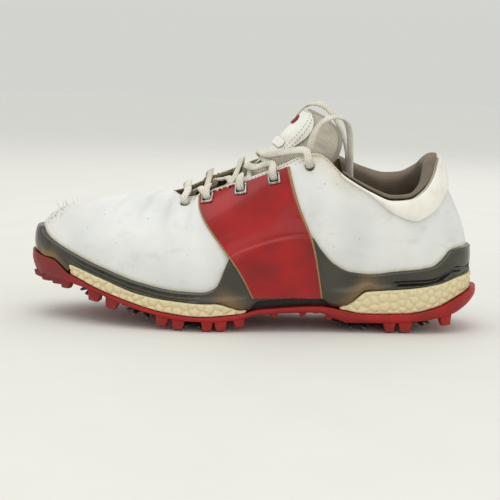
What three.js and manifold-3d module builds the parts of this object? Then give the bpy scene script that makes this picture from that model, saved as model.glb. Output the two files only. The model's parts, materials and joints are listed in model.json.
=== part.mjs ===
// A spiked golf shoe for the left foot: laced upper, moulded sole frame, two bead-foam
// midsole blocks, lugged outsole and ten twist-in cleats. Millimetres, +Z up, toe towards -X.
// The lateral (outer) side of the foot faces -Y.
import * as THREE from 'three';
import { mergeVertices } from 'three/addons/utils/BufferGeometryUtils.js';
import Module from 'manifold-3d';

const wasm = await Module();
wasm.setup();

// ---------------------------------------------------------------- driving dimensions
const shoeLength = 311; // toe bumper to heel bumper
const ballWidth = 108; // across the widest part of the sole
const gap = 0.3; // clearance between pieces that touch
const layerGap = 0.45; // between the layers of the upper
const skinThickness = 1.4; // outer microfibre
const liningThickness = 1.0; // textile lining
const stiffenerThickness = 1.6; // toe puff and heel counter
const frameThickness = 2.5; // moulded frame where it lies on the upper
const frameFlange = 4; // frame lip under the edge of the upper
const frameRail = 3.6; // how far the rail stands out from the feather edge
const featherInset = 5; // upper's bottom edge inside the sole edge, at the sides
const featherInsetToe = 0.4; // added to that inset at the toe
const featherInsetHeel = 3; // and at the heel
const boardThickness = 1.7;
const sockThickness = 4;
const saddleThickness = 1.3;
const collarPadding = 3.4; // outer collar pad at its fullest
const rollWidth = 5; // padded roll along the top line
const rollDepth = 15; // how far the roll's inner leg reaches down
const tonguePadding = 6;
const tongueClearance = 5.3; // room for a lace between the lining and the tongue
const laceDiameter = 3.4;
const aglet = { length: 20, radius: 2.3 };
const squareEyelet = { outer: 8.6, inner: 5.6, flange: 1.1, barrel: 6.4, reach: 4 };
const punchedHole = 5.8; // bare lace holes: the toe pair and the top pair
const cleat = { flange: 8.4, flangeThickness: 1.8, stud: 3, studLength: 3.6, legs: 6, reach: 10.4, drop: 3.5,
  standoff: 0.8 };
const receptacle = { radius: 7.4, height: 4.6, recess: 0.4 };
const lug = { radius: 4.4, tip: 2.8, height: 6.6, sink: 1 };
const cleatStations = [0.13, 0.245, 0.37, 0.735, 0.868]; // shares of the shoe length
const cleatInset = 19; // cleat centre inside the sole edge
const eyeletTurns = [0.385, 0.428, 0.482, 0.532, 0.583]; // toe to instep
const eyeletEdge = 9; // lace holes below the throat edge
const throatTurn = 0.35; // where the vamp opens
const cornerTurn = 0.59; // top corner of the quarters
const columnCount = 32; // surface columns along each side of the shoe
const shellRows = Math.round(shoeLength / 52); // surface rows: a longer shoe bows more up its sides
const drawnWidth = 108; // the ball width that the throat and the top line were drawn for

const colours = {
  leather: 0xe6e6e0, saddle: 0x9f1715, frame: 0x383528, foam: 0xe4d5ab, rubber: 0xa02a22, lining: 0x80766a,
  collar: 0xe9e5dc, tongue: 0xafa898, board: 0x3a3733, shank: 0x1c1c1e, steel: 0xb9bab8, lace: 0xdbd5c3,
  cleat: 0x1b1b1c, receptacle: 0x2b2b2d, sock: 0x56534e, stiffener: 0xcbb68a,
};

// ---------------------------------------------------------------- small helpers
const vec = (x, y, z) => new THREE.Vector3(x, y, z);
const { clamp, smoothstep, lerp } = THREE.MathUtils;
const steps = (from, to, count) => Array.from({ length: count + 1 }, (_, i) => lerp(from, to, i / count));

// A smooth function through a few points that never overshoots them.
function profile(points) {
  const secant = points.slice(1).map(([x, y], i) => (y - points[i][1]) / (x - points[i][0]));
  const slope = points.map((_, i) => {
    const before = secant[Math.max(i - 1, 0)];
    const after = secant[Math.min(i, secant.length - 1)];
    return before * after <= 0 ? 0 : (2 * before * after) / (before + after);
  });
  return (x) => {
    const i = clamp(points.findLastIndex((p) => p[0] <= x), 0, points.length - 2);
    const span = points[i + 1][0] - points[i][0];
    const k = clamp((x - points[i][0]) / span, 0, 1);
    const start = points[i][1] * (1 + 2 * k) * (1 - k) ** 2 + slope[i] * span * k * (1 - k) ** 2;
    const end = points[i + 1][1] * k * k * (3 - 2 * k) - slope[i + 1] * span * k * k * (1 - k);
    return start + end;
  };
}

function bezier(a, b, c, d, k) {
  const m = 1 - k;
  return vec(0, 0, 0).addScaledVector(a, m ** 3).addScaledVector(b, 3 * m * m * k)
    .addScaledVector(c, 3 * m * k * k).addScaledVector(d, k ** 3);
}

// ---------------------------------------------------------------- sole outline
// A turn runs from 0 at the toe to 1 at the heel; a signed turn is negative on the lateral side.
const stationOf = (turn) => (1 - Math.cos(Math.PI * turn)) / 2; // share of the length
const turnOf = (station) => Math.acos(1 - 2 * clamp(station, 0, 1)) / Math.PI;
const xOf = (station) => (station - 0.5) * shoeLength;
const stationAtX = (x) => x / shoeLength + 0.5;

const widthShape = profile([[0, 0.93], [0.14, 1], [0.26, 1.1], [0.33, 1.09], [0.4, 1.045], [0.52, 0.807],
  [0.585, 0.742], [0.65, 0.77], [0.71, 0.86], [0.78, 0.97], [0.845, 1.03], [1, 0.95]]);
const endRoundness = 0.8; // below 1 the toe and heel are blunter than an ellipse
const centreShift = profile([[0, 9], [0.15, 8], [0.3, 3], [0.45, -3], [0.6, -4], [0.8, -1], [1, 0]]);

function outlinePoint(turn) {
  const t = Math.abs(turn);
  const half = (ballWidth / 2) * widthShape(t) * Math.abs(Math.sin(Math.PI * t)) ** endRoundness;
  return vec(xOf(stationOf(t)), centreShift(stationOf(t)) + Math.sign(turn) * half, 0);
}

const wrapTurn = (turn) => turn - 2 * Math.round(turn / 2);
const outwardStep = 0.012;
function outward(turn) {
  const ahead = outlinePoint(wrapTurn(turn + outwardStep));
  const behind = outlinePoint(wrapTurn(turn - outwardStep));
  return vec(ahead.y - behind.y, behind.x - ahead.x, 0).normalize().negate();
}
const edgePoint = (turn, inset, z) => outlinePoint(turn).addScaledVector(outward(turn), -inset).setZ(z);
// The same, standing at the height that a profile gives for that point's own station.
function edgeAt(turn, inset, height) {
  const p = edgePoint(turn, inset, 0);
  return p.setZ(height(stationAtX(p.x)));
}

// ---------------------------------------------------------------- heights along the sole
const foamTop = profile([[0, 46], [0.03, 43.5], [0.095, 39.6], [0.17, 32], [0.255, 23.3], [0.32, 20.3],
  [0.4, 18.9], [0.48, 20], [0.58, 23], [0.68, 25.6], [0.783, 29], [0.84, 30.5], [0.9, 33.3],
  [0.957, 38.5], [1, 40.5]]);
const foamBottom = profile([[0, 41], [0.1, 32.8], [0.16, 25.2], [0.233, 18], [0.309, 12.5], [0.384, 10.4],
  [0.471, 12.6], [0.518, 15.9], [0.643, 18.2], [0.7, 15.6], [0.74, 13.3], [0.834, 13.9], [0.9, 17.9],
  [0.947, 24.3], [1, 31]]);
const outsoleBottom = profile([[0, 38], [0.016, 31], [0.04, 28.3], [0.08, 27.4], [0.127, 25], [0.169, 21],
  [0.21, 16.6], [0.275, 11.2], [0.352, 7.2], [0.416, 6.8], [0.471, 8.6], [0.518, 12], [0.643, 13.4],
  [0.68, 9.5], [0.71, 6.8], [0.815, 7.2], [0.879, 9.3], [0.934, 12.6], [0.969, 17.5], [1, 24]]);
const foamRear = 0.487; // where the forefoot block ends
const heelFoamFront = 0.692;
const foamLip = 1.2; // foam left at the ends that taper out at the waist
const foreFoamTop = (s) => lerp(foamTop(s), foamBottom(s) + foamLip, smoothstep(s, 0.42, foamRear));
const heelFoamTop = (s) => lerp(foamBottom(s) + foamLip, foamTop(s), smoothstep(s, heelFoamFront, 0.748));
const bumperZone = (station) => 1 - smoothstep(station, 0.055, 0.1); // the outsole climbs the toe here
const outsoleTop = (station) => lerp(foamBottom(station), foamTop(station), bumperZone(station)) - layerGap;
// What the frame stands on: a foam block, or the outsole where there is none.
function footingTop(station) {
  if (station < foamRear) return Math.max(outsoleTop(station), foreFoamTop(station));
  return station > heelFoamFront ? heelFoamTop(station) : outsoleTop(station);
}
const featherAboveFoam = 2.3;
const featherHeight = (station) => foamTop(station) + featherAboveFoam;

// ---------------------------------------------------------------- the upper's outer surface
const insetAt = (t) => featherInset
  + (t < 0.5 ? featherInsetToe : featherInsetHeel) * Math.cos(Math.PI * t) ** 2;
const topStation = profile([[0, 0.117], [0.1, 0.133], [0.2, 0.188], [0.3, 0.265], [0.35, 0.318], [0.4, 0.368],
  [0.5, 0.494], [0.59, 0.616], [0.65, 0.693], [0.7, 0.751], [0.8, 0.831], [0.9, 0.883], [1, 0.9]]);
const ridgeShift = profile([[0, 9], [0.2, 8], [0.35, 5]]);
// Profiles that differ between the sides are keyed by the side's sign.
const throatHalf = {
  '-1': profile([[0.35, 0], [0.365, 11], [0.385, 17], [0.42, 21], [0.5, 25], [0.59, 29],
    [0.65, 33], [0.7, 34.5], [0.8, 33], [0.9, 22], [0.96, 12], [1, 0]]),
  1: profile([[0.35, 0], [0.365, 9], [0.385, 14], [0.42, 17], [0.5, 22], [0.59, 28],
    [0.65, 32], [0.7, 33.5], [0.8, 32], [0.9, 21.5], [0.96, 12], [1, 0]]),
};
const ridgeHeight = profile([[0, 80], [0.1, 81], [0.2, 84], [0.3, 87.3], [throatTurn, 89]]);
const edgeHeights = {
  '-1': profile([[throatTurn, 89], [0.37, 87], [0.39, 87], [0.42, 90.5], [0.46, 96.5], [0.5, 103],
    [0.55, 112.5], [0.58, 119], [0.6, 120], [0.65, 105], [0.7, 95], [0.75, 90], [0.8, 91], [0.85, 97],
    [0.9, 107], [0.95, 115], [1, 118]]),
  1: profile([[throatTurn, 89], [0.37, 89.5], [0.39, 92], [0.42, 97], [0.46, 103.5], [0.5, 110.5],
    [0.55, 118], [0.58, 123], [0.6, 123.5], [0.65, 112], [0.7, 104], [0.75, 100.5], [0.8, 101.5],
    [0.85, 106.5], [0.9, 112.5], [0.95, 116.5], [1, 118]]),
};
const topHeight = (side, t) => (t <= throatTurn ? ridgeHeight(t) : edgeHeights[side](t));
// How steeply the surface leaves its top edge, in degrees below level.
const topSlope = {
  '-1': profile([[0.35, 0], [0.365, 9], [0.385, 16], [0.42, 28], [0.5, 44], [0.59, 60], [0.65, 80],
    [0.8, 86], [1, 74]]),
  1: profile([[0.35, 0], [0.365, 7], [0.385, 12], [0.42, 22], [0.5, 36], [0.59, 55], [0.65, 76],
    [0.8, 84], [1, 74]]),
};
const sideLift = profile([[0, 0.62], [0.2, 0.55], [0.5, 0.45], [0.8, 0.4], [1, 0.4]]);
const sideBulge = profile([[0, 3.5], [0.3, 3], [0.5, 1], [0.7, 3], [1, 5]]);
const topReach = profile([[0, 0.62], [0.15, 0.6], [0.35, 0.52], [0.6, 0.4], [1, 0.34]]);

function topPoint(turn) {
  const t = Math.abs(turn);
  const side = turn < 0 ? -1 : 1;
  const y = t <= throatTurn ? ridgeShift(t) : lerp(ridgeShift(t), 0, smoothstep(t, throatTurn, cornerTurn))
    + side * throatHalf[side](t) * (ballWidth / drawnWidth);
  return vec(xOf(topStation(t)), y, topHeight(side, t));
}

function meridian(turn) {
  const t = Math.abs(turn);
  const side = turn < 0 ? -1 : 1;
  const foot = edgeAt(turn, insetAt(t), featherHeight);
  const top = topPoint(turn);
  const level = vec(foot.x - top.x, foot.y - top.y, 0);
  const reach = level.length();
  level.normalize();
  const slope = THREE.MathUtils.degToRad(topSlope[side](t));
  const ridge = (ridgeHeight(t + 0.02) - ridgeHeight(t)) / (xOf(topStation(t + 0.02)) - xOf(topStation(t)));
  const drop = t <= throatTurn ? -ridge * level.x : Math.tan(Math.min(slope, 1.5));
  const leave = vec(level.x, level.y, -drop).normalize();
  const span = Math.max(reach, (top.z - foot.z) * Math.sin(slope));
  const low = foot.clone().addScaledVector(outward(turn), sideBulge(t));
  low.z += (top.z - foot.z) * sideLift(t);
  return [foot, low, top.clone().addScaledVector(leave, span * topReach(t)), top];
}

const uppers = new Map(); // meridians already worked out, by turn
function upperPoint(turn, v) {
  if (!uppers.has(turn)) uppers.set(turn, meridian(turn));
  return bezier(...uppers.get(turn), v);
}

const probe = 0.01;
function rawNormal(turn, v) {
  const middle = clamp(v, probe, 1 - 2 * probe);
  const along = upperPoint(wrapTurn(turn + probe), middle).sub(upperPoint(wrapTurn(turn - probe), middle));
  const up = upperPoint(turn, middle + probe).sub(upperPoint(turn, middle - probe));
  return along.cross(up).normalize().negate();
}
function upperNormal(turn, v) {
  const own = rawNormal(turn, v);
  const onRidge = v > 1 - probe && Math.abs(turn) <= throatTurn;
  return onRidge ? own.add(rawNormal(-turn, v)).normalize() : own;
}
const skinPoint = (turn, v, offset) => upperPoint(turn, v).addScaledVector(upperNormal(turn, v), offset);

const edgeHeight = (turn) => upperPoint(turn, 0).z;
// The share of the meridian at a height, and a side point at any height, above or below the feather edge.
function shareAt(turn, z) {
  let low = 0;
  let high = 1;
  for (let i = 0; i < 24; i += 1) {
    const middle = (low + high) / 2;
    if (upperPoint(turn, middle).z < z) low = middle;
    else high = middle;
  }
  return low;
}
function sidePoint(turn, z, offset) {
  if (z > edgeHeight(turn)) return skinPoint(turn, shareAt(turn, z), offset);
  return edgePoint(turn, insetAt(Math.abs(turn)) - offset, z);
}

// ---------------------------------------------------------------- solids
// Joins two matching grids of points into one closed shell. The grids close round when wrap is set,
// and where seam(i) is true the last row is already joined to its mirror image and gets no rim.
function thickSheet(front, back, wrap = false, seam = () => false) {
  const columns = front.length;
  const rows = front[0].length;
  const index = (face, i, j) => (face * columns + (i % columns)) * rows + j;
  const positions = [front, back].flat(2).flatMap((p) => [p.x, p.y, p.z]);
  const faces = [];
  const quad = (a, b, c, d) => faces.push(a, b, c, a, c, d);
  for (let i = 0; i < (wrap ? columns : columns - 1); i += 1) {
    for (let j = 0; j < rows - 1; j += 1) {
      quad(index(0, i, j), index(0, i + 1, j), index(0, i + 1, j + 1), index(0, i, j + 1));
      quad(index(1, i, j), index(1, i, j + 1), index(1, i + 1, j + 1), index(1, i + 1, j));
    }
    quad(index(0, i, 0), index(1, i, 0), index(1, i + 1, 0), index(0, i + 1, 0));
    const last = rows - 1;
    if (!seam(i)) quad(index(0, i, last), index(0, i + 1, last), index(1, i + 1, last), index(1, i, last));
  }
  for (let j = 0; j < rows - 1 && !wrap; j += 1) {
    const end = columns - 1;
    quad(index(0, 0, j), index(0, 0, j + 1), index(1, 0, j + 1), index(1, 0, j));
    quad(index(0, end, j), index(1, end, j), index(1, end, j + 1), index(0, end, j + 1));
  }
  const geometry = new THREE.BufferGeometry();
  geometry.setAttribute('position', new THREE.Float32BufferAttribute(positions, 3));
  geometry.setIndex(faces);
  return facingOut(mergeVertices(geometry, 1e-4));
}

function facingOut(geometry) {
  const p = geometry.attributes.position;
  const index = geometry.index.array;
  const corner = (k) => vec(0, 0, 0).fromBufferAttribute(p, index[k]);
  const kept = [];
  let volume = 0;
  for (let k = 0; k < index.length; k += 3) {
    if (index[k] === index[k + 1] || index[k + 1] === index[k + 2] || index[k] === index[k + 2]) continue;
    volume += corner(k).dot(corner(k + 1).cross(corner(k + 2)));
    kept.push(index[k], index[k + 1], index[k + 2]);
  }
  if (volume < 0) {
    for (let k = 0; k < kept.length; k += 3) [kept[k], kept[k + 1]] = [kept[k + 1], kept[k]];
  }
  geometry.setIndex(kept);
  return geometry;
}

function toSolid(geometry) {
  const bare = geometry.clone();
  bare.deleteAttribute('normal');
  bare.deleteAttribute('uv');
  const merged = mergeVertices(bare, 1e-4);
  const triVerts = Uint32Array.from(merged.index.array);
  const vertProperties = Float32Array.from(merged.attributes.position.array);
  return new wasm.Manifold(new wasm.Mesh({ numProp: 3, vertProperties, triVerts }));
}

function toGeometry(solid) {
  const mesh = solid.getMesh();
  const geometry = new THREE.BufferGeometry();
  geometry.setAttribute('position', new THREE.Float32BufferAttribute(mesh.vertProperties, 3));
  geometry.setIndex(new THREE.Uint32BufferAttribute(mesh.triVerts, 1));
  return geometry;
}

const cut = (geometry, tools) => toGeometry(
  tools.reduce((solid, tool) => solid.subtract(toSolid(tool)), toSolid(geometry)),
);
const join = ([first, ...others]) => toGeometry(
  others.reduce((solid, part) => solid.add(toSolid(part)), toSolid(first)),
);

// A frame whose Z axis points along "up" at a place, with its X axis as near as may be to "ahead".
function placed(geometry, place, up, ahead = vec(1, 0, 0)) {
  const z = up.clone().normalize();
  const y = z.clone().cross(ahead).normalize();
  const x = y.clone().cross(z);
  const matrix = new THREE.Matrix4().makeBasis(x, y, z).setPosition(place);
  return geometry.clone().applyMatrix4(matrix);
}

const uprightCylinder = (top, bottom, height, sides) => new THREE.CylinderGeometry(top, bottom, height, sides)
  .rotateX(Math.PI / 2);

const shoe = new THREE.Group();
function addPart(name, geometry, colour, roughness, metalness = 0, parent = shoe) {
  const material = new THREE.MeshStandardMaterial({ color: colour, roughness, metalness });
  const mesh = new THREE.Mesh(geometry, material);
  mesh.name = name;
  parent.add(mesh);
  return mesh;
}

// ---------------------------------------------------------------- upper skin, lining and stiffeners
const eyeletAt = (turn) => {
  const edge = topPoint(turn);
  let v = 1;
  while (upperPoint(turn, v).distanceTo(edge) < eyeletEdge) v -= 0.005;
  const up = upperPoint(turn, v + probe).sub(upperPoint(turn, v)).normalize();
  return { place: upperPoint(turn, v), normal: upperNormal(turn, v), up, edge };
};
const sides = { lateral: -1, medial: 1 };
const isPunched = (k) => k === 0 || k === eyeletTurns.length - 1;
const drillLength = 24;

function laceHole(k, side, clearance) {
  const { place, normal, up } = eyeletAt(side * eyeletTurns[k]);
  const size = squareEyelet.barrel + 2 * clearance;
  const radius = punchedHole / 2 + clearance;
  const tool = isPunched(k) ? uprightCylinder(radius, radius, drillLength, 12)
    : new THREE.BoxGeometry(size, size, drillLength);
  return placed(tool, place, normal, up);
}
const laceHoles = (clearance) => Object.values(sides)
  .flatMap((side) => eyeletTurns.map((_, k) => laceHole(k, side, clearance)));

const ringTurns = (() => {
  const fine = [throatTurn, 0.365, 0.385, cornerTurn];
  const one = [...steps(0, 1, columnCount), ...fine].sort((a, b) => a - b)
    .filter((t, i, all) => i === 0 || t - all[i - 1] > 0.006 || fine.includes(t));
  const kept = one.filter((t, i) => i === one.length - 1 || one[i + 1] - t > 0.006 || fine.includes(t));
  return [...kept, ...kept.slice(1, -1).reverse().map((t) => -t)];
})();

function shellAround(rows, outer, inner) {
  const grid = (offset) => ringTurns.map((turn) => steps(0, 1, rows)
    .map((v) => skinPoint(turn, v, offset(Math.abs(turn)))));
  const closed = (i) => Math.max(Math.abs(ringTurns[i]),
    Math.abs(ringTurns[(i + 1) % ringTurns.length])) <= throatTurn + 1e-9;
  return thickSheet(grid(outer), grid(inner), true, closed);
}

const stiffenerZone = (t) => Math.max(1 - smoothstep(t, 0.16, 0.24), smoothstep(t, 0.66, 0.74));
const liningTop = (t) => -(skinThickness + layerGap + (stiffenerThickness + layerGap) * stiffenerZone(t));
const liningInside = (t) => liningTop(t) - liningThickness;

const outerShell = shellAround(shellRows, () => 0, () => -skinThickness);
addPart('upper_shell', cut(outerShell, laceHoles(gap)), colours.leather, 0.5);
const innerShell = shellAround(shellRows, liningTop, liningInside);
addPart('upper_lining', cut(innerShell, laceHoles(3 * gap)), colours.lining, 0.95);

// A piece lying on or under the skin, between two heights given for every turn.
function patch(turns, rows, low, high, outer, inner) {
  const grid = (offset) => turns.map((turn) => steps(0, 1, rows)
    .map((k) => sidePoint(turn, lerp(low(turn), high(turn), k), offset(turn, k))));
  return thickSheet(grid(outer), grid(inner));
}
const stiffenerTop = () => -(skinThickness + layerGap);
const stiffenerBack = () => stiffenerTop() - stiffenerThickness;
const aroundToe = ringTurns.filter((turn) => Math.abs(turn) < 0.16).sort((a, b) => a - b);
const aroundHeel = ringTurns.filter((turn) => Math.abs(turn) > 0.76)
  .map((turn) => (turn < 0 ? turn + 2 : turn)).sort((a, b) => a - b).map(wrapTurn);
const puffTop = (turn) => lerp(72, 58, smoothstep(Math.abs(turn), 0, 0.15));
const counterTop = (turn) => lerp(92, 66, smoothstep(1 - Math.abs(turn), 0, 0.24));
const aboveEdge = (turn) => edgeHeight(turn) + 0.5;
for (const [name, turns, rows, top] of [['toe_puff', aroundToe, shellRows - 2, puffTop],
  ['heel_counter', aroundHeel, shellRows - 1, counterTop]]) {
  addPart(name, patch(turns, rows, aboveEdge, top, stiffenerTop, stiffenerBack), colours.stiffener, 0.8);
}

// ---------------------------------------------------------------- collar
const seamHeight = {
  '-1': profile([[0.59, 118], [0.65, 104], [0.7, 92], [0.75, 81], [0.8, 76.5], [0.86, 82],
    [0.92, 92], [1, 100]]),
  1: profile([[0.59, 120], [0.65, 110], [0.7, 99], [0.75, 89], [0.8, 85], [0.86, 88], [0.92, 94],
    [1, 100]]),
};
const collarStart = 0.64;
const aroundCollar = steps(collarStart, 2 - collarStart, 24).map(wrapTurn);
const collarFade = (turn) => smoothstep(Math.abs(turn), collarStart - 0.02, 0.74);

const padSkin = 0.5; // the pad's leather where there is no padding under it
function collarPad() {
  const lowShare = (turn) => shareAt(turn, Math.min(seamHeight[turn < 0 ? -1 : 1](Math.abs(turn)),
    topPoint(turn).z - 2));
  const grid = (offset) => aroundCollar.map((turn) => steps(0, 1, 6)
    .map((k) => skinPoint(turn, lerp(lowShare(turn), 1, k), offset(turn, k))));
  const padding = (turn, k) => collarPadding * collarFade(turn) * Math.sin(Math.PI * (0.08 + 0.8 * k)) ** 0.7;
  return thickSheet(grid((turn, k) => 2 * gap + (padSkin + padding(turn, k))), grid(() => 2 * gap));
}
addPart('collar_pad', collarPad(), colours.collar, 0.6);

// The padded roll caps the top line and its inner leg lies inside the lining.
function collarRoll() {
  const inside = (turn) => liningInside(Math.abs(turn)) - 2.5 * gap;
  const shareBelow = (turn, depth) => shareAt(turn, topPoint(turn).z - depth);
  const crest = 3.2;
  const profileFront = (turn) => {
    const full = rollWidth * (0.3 + 0.7 * collarFade(turn));
    const swell = (k) => full * (0.35 + 0.65 * (1 - k) ** 0.5);
    const leg = steps(1, 0, 3)
      .map((k) => skinPoint(turn, shareBelow(turn, rollDepth * k), inside(turn) - swell(k)));
    const over = [[-0.9, 0.55], [-0.45, 1], [0, 0.75], [0.2, 0.2]].map(([across, up]) => {
      const p = skinPoint(turn, 1, across * full);
      p.z += 3 * gap + crest * up;
      return p;
    });
    return [...leg, ...over];
  };
  const profileBack = (turn) => {
    const leg = steps(1, 0, 3).map((k) => skinPoint(turn, shareBelow(turn, rollDepth * k), inside(turn)));
    const over = [-0.9, -0.6, -0.3, 0.2].map((across) => {
      const p = skinPoint(turn, 1, Math.max(across * rollWidth, inside(turn)));
      p.z += 3 * gap;
      return p;
    });
    return [...leg, ...over];
  };
  return thickSheet(aroundCollar.map(profileFront), aroundCollar.map(profileBack));
}
addPart('collar_roll', collarRoll(), colours.lining, 0.95);

// ---------------------------------------------------------------- moulded frame
const frameTop = profile([[0, 63], [0.06, 62], [0.1, 58], [0.14, 54], [0.2, 47.5], [0.27, 39], [0.33, 31.5],
  [0.4, 26.6], [0.43, 26.4], [0.45, 29.5], [0.462, 42], [0.47, 51], [0.5, 58], [0.535, 63.5], [0.565, 66],
  [0.58, 64.5], [0.592, 57], [0.613, 47], [0.64, 41.2], [0.67, 40], [0.71, 42], [0.79, 45.5], [0.82, 50],
  [0.86, 57], [0.9, 58.5], [1, 59]]);
// More room over the foam blocks where they taper; a wider sole's edge slants more there.
const taperSeat = 1.6 * (ballWidth / drawnWidth);
const frameSeat = profile([[0.4, gap], [0.44, 1], [0.5, 1], [0.52, gap], [0.66, gap], [0.69, taperSeat],
  [0.75, taperSeat - 0.2], [0.78, gap]]);
const frameBottom = (station) => footingTop(station) + frameSeat(station);
const waistSlimming = 0.25; // share of the rail lost at the waist
const railOut = (station) => frameRail * (1 - waistSlimming * smoothstep(station, 0.45, 0.52)
  + waistSlimming * smoothstep(station, 0.68, 0.74));
const frameTurns = (() => {
  const wing = [0.438, 0.448, 0.456, 0.464, 0.472, ...steps(0.49, 0.565, 4), 0.578, 0.587, 0.597,
    0.613, 0.626, 0.638, 0.65, 0.664, 0.68];
  const one = [...steps(0, 0.42, 15), ...wing, ...steps(0.7, 1, 11)];
  return [...one, ...one.slice(1, -1).reverse().map((t) => -t)];
})();

function frameOuter(turn, z) {
  const t = Math.abs(turn);
  const feather = edgeHeight(turn);
  const crest = frameTop(t);
  const rail = railOut(stationOf(t));
  const lip = clamp((crest - z) / 1.5, 0, 1);
  const onSkin = lerp(frameThickness * 0.5, frameThickness, lip);
  return lerp(rail, onSkin, smoothstep(z, feather - 0.5, feather + 3));
}

function mouldedFrame() {
  const section = (turn) => {
    const inset = insetAt(Math.abs(turn));
    const feather = edgeHeight(turn);
    const rim = feather - gap;
    const crest = frameTop(Math.abs(turn));
    const heights = [rim, ...steps(feather + 0.05, crest - 1.2, 3), crest];
    const front = [edgeAt(turn, inset - frameOuter(turn, 0), frameBottom),
      ...heights.map((z) => sidePoint(turn, z, frameOuter(turn, z)))];
    const back = [edgeAt(turn, inset + frameFlange, frameBottom),
      edgeAt(turn, inset + frameFlange, (station) => featherHeight(station) - gap),
      sidePoint(turn, rim, gap), ...heights.slice(2).map((z) => sidePoint(turn, z, gap))];
    return [front, back];
  };
  const sections = frameTurns.map(section);
  return thickSheet(sections.map((s) => s[0]), sections.map((s) => s[1]), true);
}
addPart('sole_frame', mouldedFrame(), colours.frame, 0.35);

// ---------------------------------------------------------------- sole blocks
// A block between two stations whose edge follows the sole outline; top and bottom give its heights.
function block(from, to, top, bottom, inset) {
  const [start, end] = [turnOf(from), turnOf(to)];
  const across = 2;
  const turns = [start, ...frameTurns.filter((t) => t > start + 0.006 && t < end - 0.006), end];
  const surface = (height, face) => turns.map((t) => {
    const edge = inset(t, face);
    const near = edgePoint(-t, edge, 0);
    const far = edgePoint(t, edge, 0);
    return steps(0, 1, across).map((k) => {
      const p = near.clone().lerp(far, k);
      return p.setZ(height(stationAtX(p.x)));
    });
  });
  return thickSheet(surface(top, 1), surface(bottom, 0));
}

const endInset = (t, amount) => insetAt(t) - featherInset + amount;
const cleatPlaces = cleatStations.flatMap((station) => Object.entries(sides).map(([sideName, side]) => {
  const turn = side * turnOf(station);
  const place = edgePoint(turn, cleatInset, 0);
  const at = stationAtX(place.x);
  const tilt = (outsoleBottom(at + 0.01) - outsoleBottom(at - 0.01)) / (0.02 * shoeLength);
  place.z = outsoleBottom(at);
  return { name: `${sideName}_${Math.round(station * 100)}`, place, up: vec(-tilt, 0, 1).normalize() };
}));
const raised = (spot, height) => spot.place.clone().addScaledVector(spot.up, height);

function receptaclePocket(spot) {
  const height = receptacle.height + receptacle.recess + gap;
  const depth = 2 * height;
  return placed(uprightCylinder(receptacle.radius + gap, receptacle.radius + gap, depth, 12),
    raised(spot, height - depth / 2), spot.up);
}
const pockets = cleatPlaces.map(receptaclePocket);

const bulge = (t, face) => endInset(t, face ? 1.2 : 2);
addPart('forefoot_midsole', cut(block(0.098, foamRear, foreFoamTop, (s) => foamBottom(s), bulge), pockets),
  colours.foam, 0.8);
addPart('heel_midsole', cut(block(heelFoamFront, 0.994, heelFoamTop, foamBottom, bulge), pockets),
  colours.foam, 0.8);

const lugStations = { edge: [0.075, 0.19, 0.305, 0.43, 0.8, 0.93], inner: [0.19, 0.31, 0.43, 0.8] };
const lugInset = { edge: 7.5, inner: 33 };
const levelTilt = 0.05; // lugs on flatter ground than this stand upright
function lugAt(station, side, inset) {
  const p = edgePoint(side * turnOf(station), inset, 0);
  const tilt = (outsoleBottom(station + 0.01) - outsoleBottom(station - 0.01)) / (0.02 * shoeLength);
  const nearlyLevel = Math.abs(tilt) < levelTilt;
  p.z = outsoleBottom(stationAtX(p.x)) - lug.height / 2 + lug.sink;
  return placed(uprightCylinder(lug.radius, lug.tip, lug.height + 2 * lug.sink, 6), p,
    vec(nearlyLevel ? 0 : -tilt, 0, 1));
}
const lugs = Object.keys(lugStations).flatMap((row) => lugStations[row]
  .flatMap((station) => Object.values(sides).map((side) => lugAt(station, side, lugInset[row]))));
const bridgeRib = { length: 6, width: 7, height: 5, sink: 1, offside: 12 };
const bridgeRibs = [0.55, 0.61].flatMap((station) => Object.values(sides).map((side) => new THREE.BoxGeometry(
  bridgeRib.length, bridgeRib.width, bridgeRib.height,
).translate(xOf(station), centreShift(station) + side * bridgeRib.offside,
  outsoleBottom(station) + bridgeRib.sink - bridgeRib.height / 2)));
const outsoleChamfer = 2.4;
const outsoleSlab = block(0.001, 0.999, outsoleTop, outsoleBottom, (t, face) => (face ? 0 : outsoleChamfer));
addPart('outsole', cut(join([outsoleSlab, ...lugs, ...bridgeRibs]), pockets), colours.rubber, 0.45);

// ---------------------------------------------------------------- footbed and shank
const insideFrame = (t) => insetAt(t) + frameFlange + gap;
addPart('insole_board', block(0.045, 0.965, (s) => featherHeight(s) - gap,
  (s) => featherHeight(s) - gap - boardThickness, insideFrame), colours.board, 0.9);
const sockInset = (t) => insetAt(t) - liningInside(t) + 2 * gap;
addPart('sockliner', block(0.05, 0.96, (s) => featherHeight(s) + gap + sockThickness,
  (s) => featherHeight(s) + gap, sockInset), colours.sock, 0.95);
const shankTop = (s) => featherHeight(s) - boardThickness - 2 * gap;
addPart('shank_plate', block(0.5, 0.675, shankTop, (s) => outsoleTop(s) + gap, insideFrame),
  colours.shank, 0.4);

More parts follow.
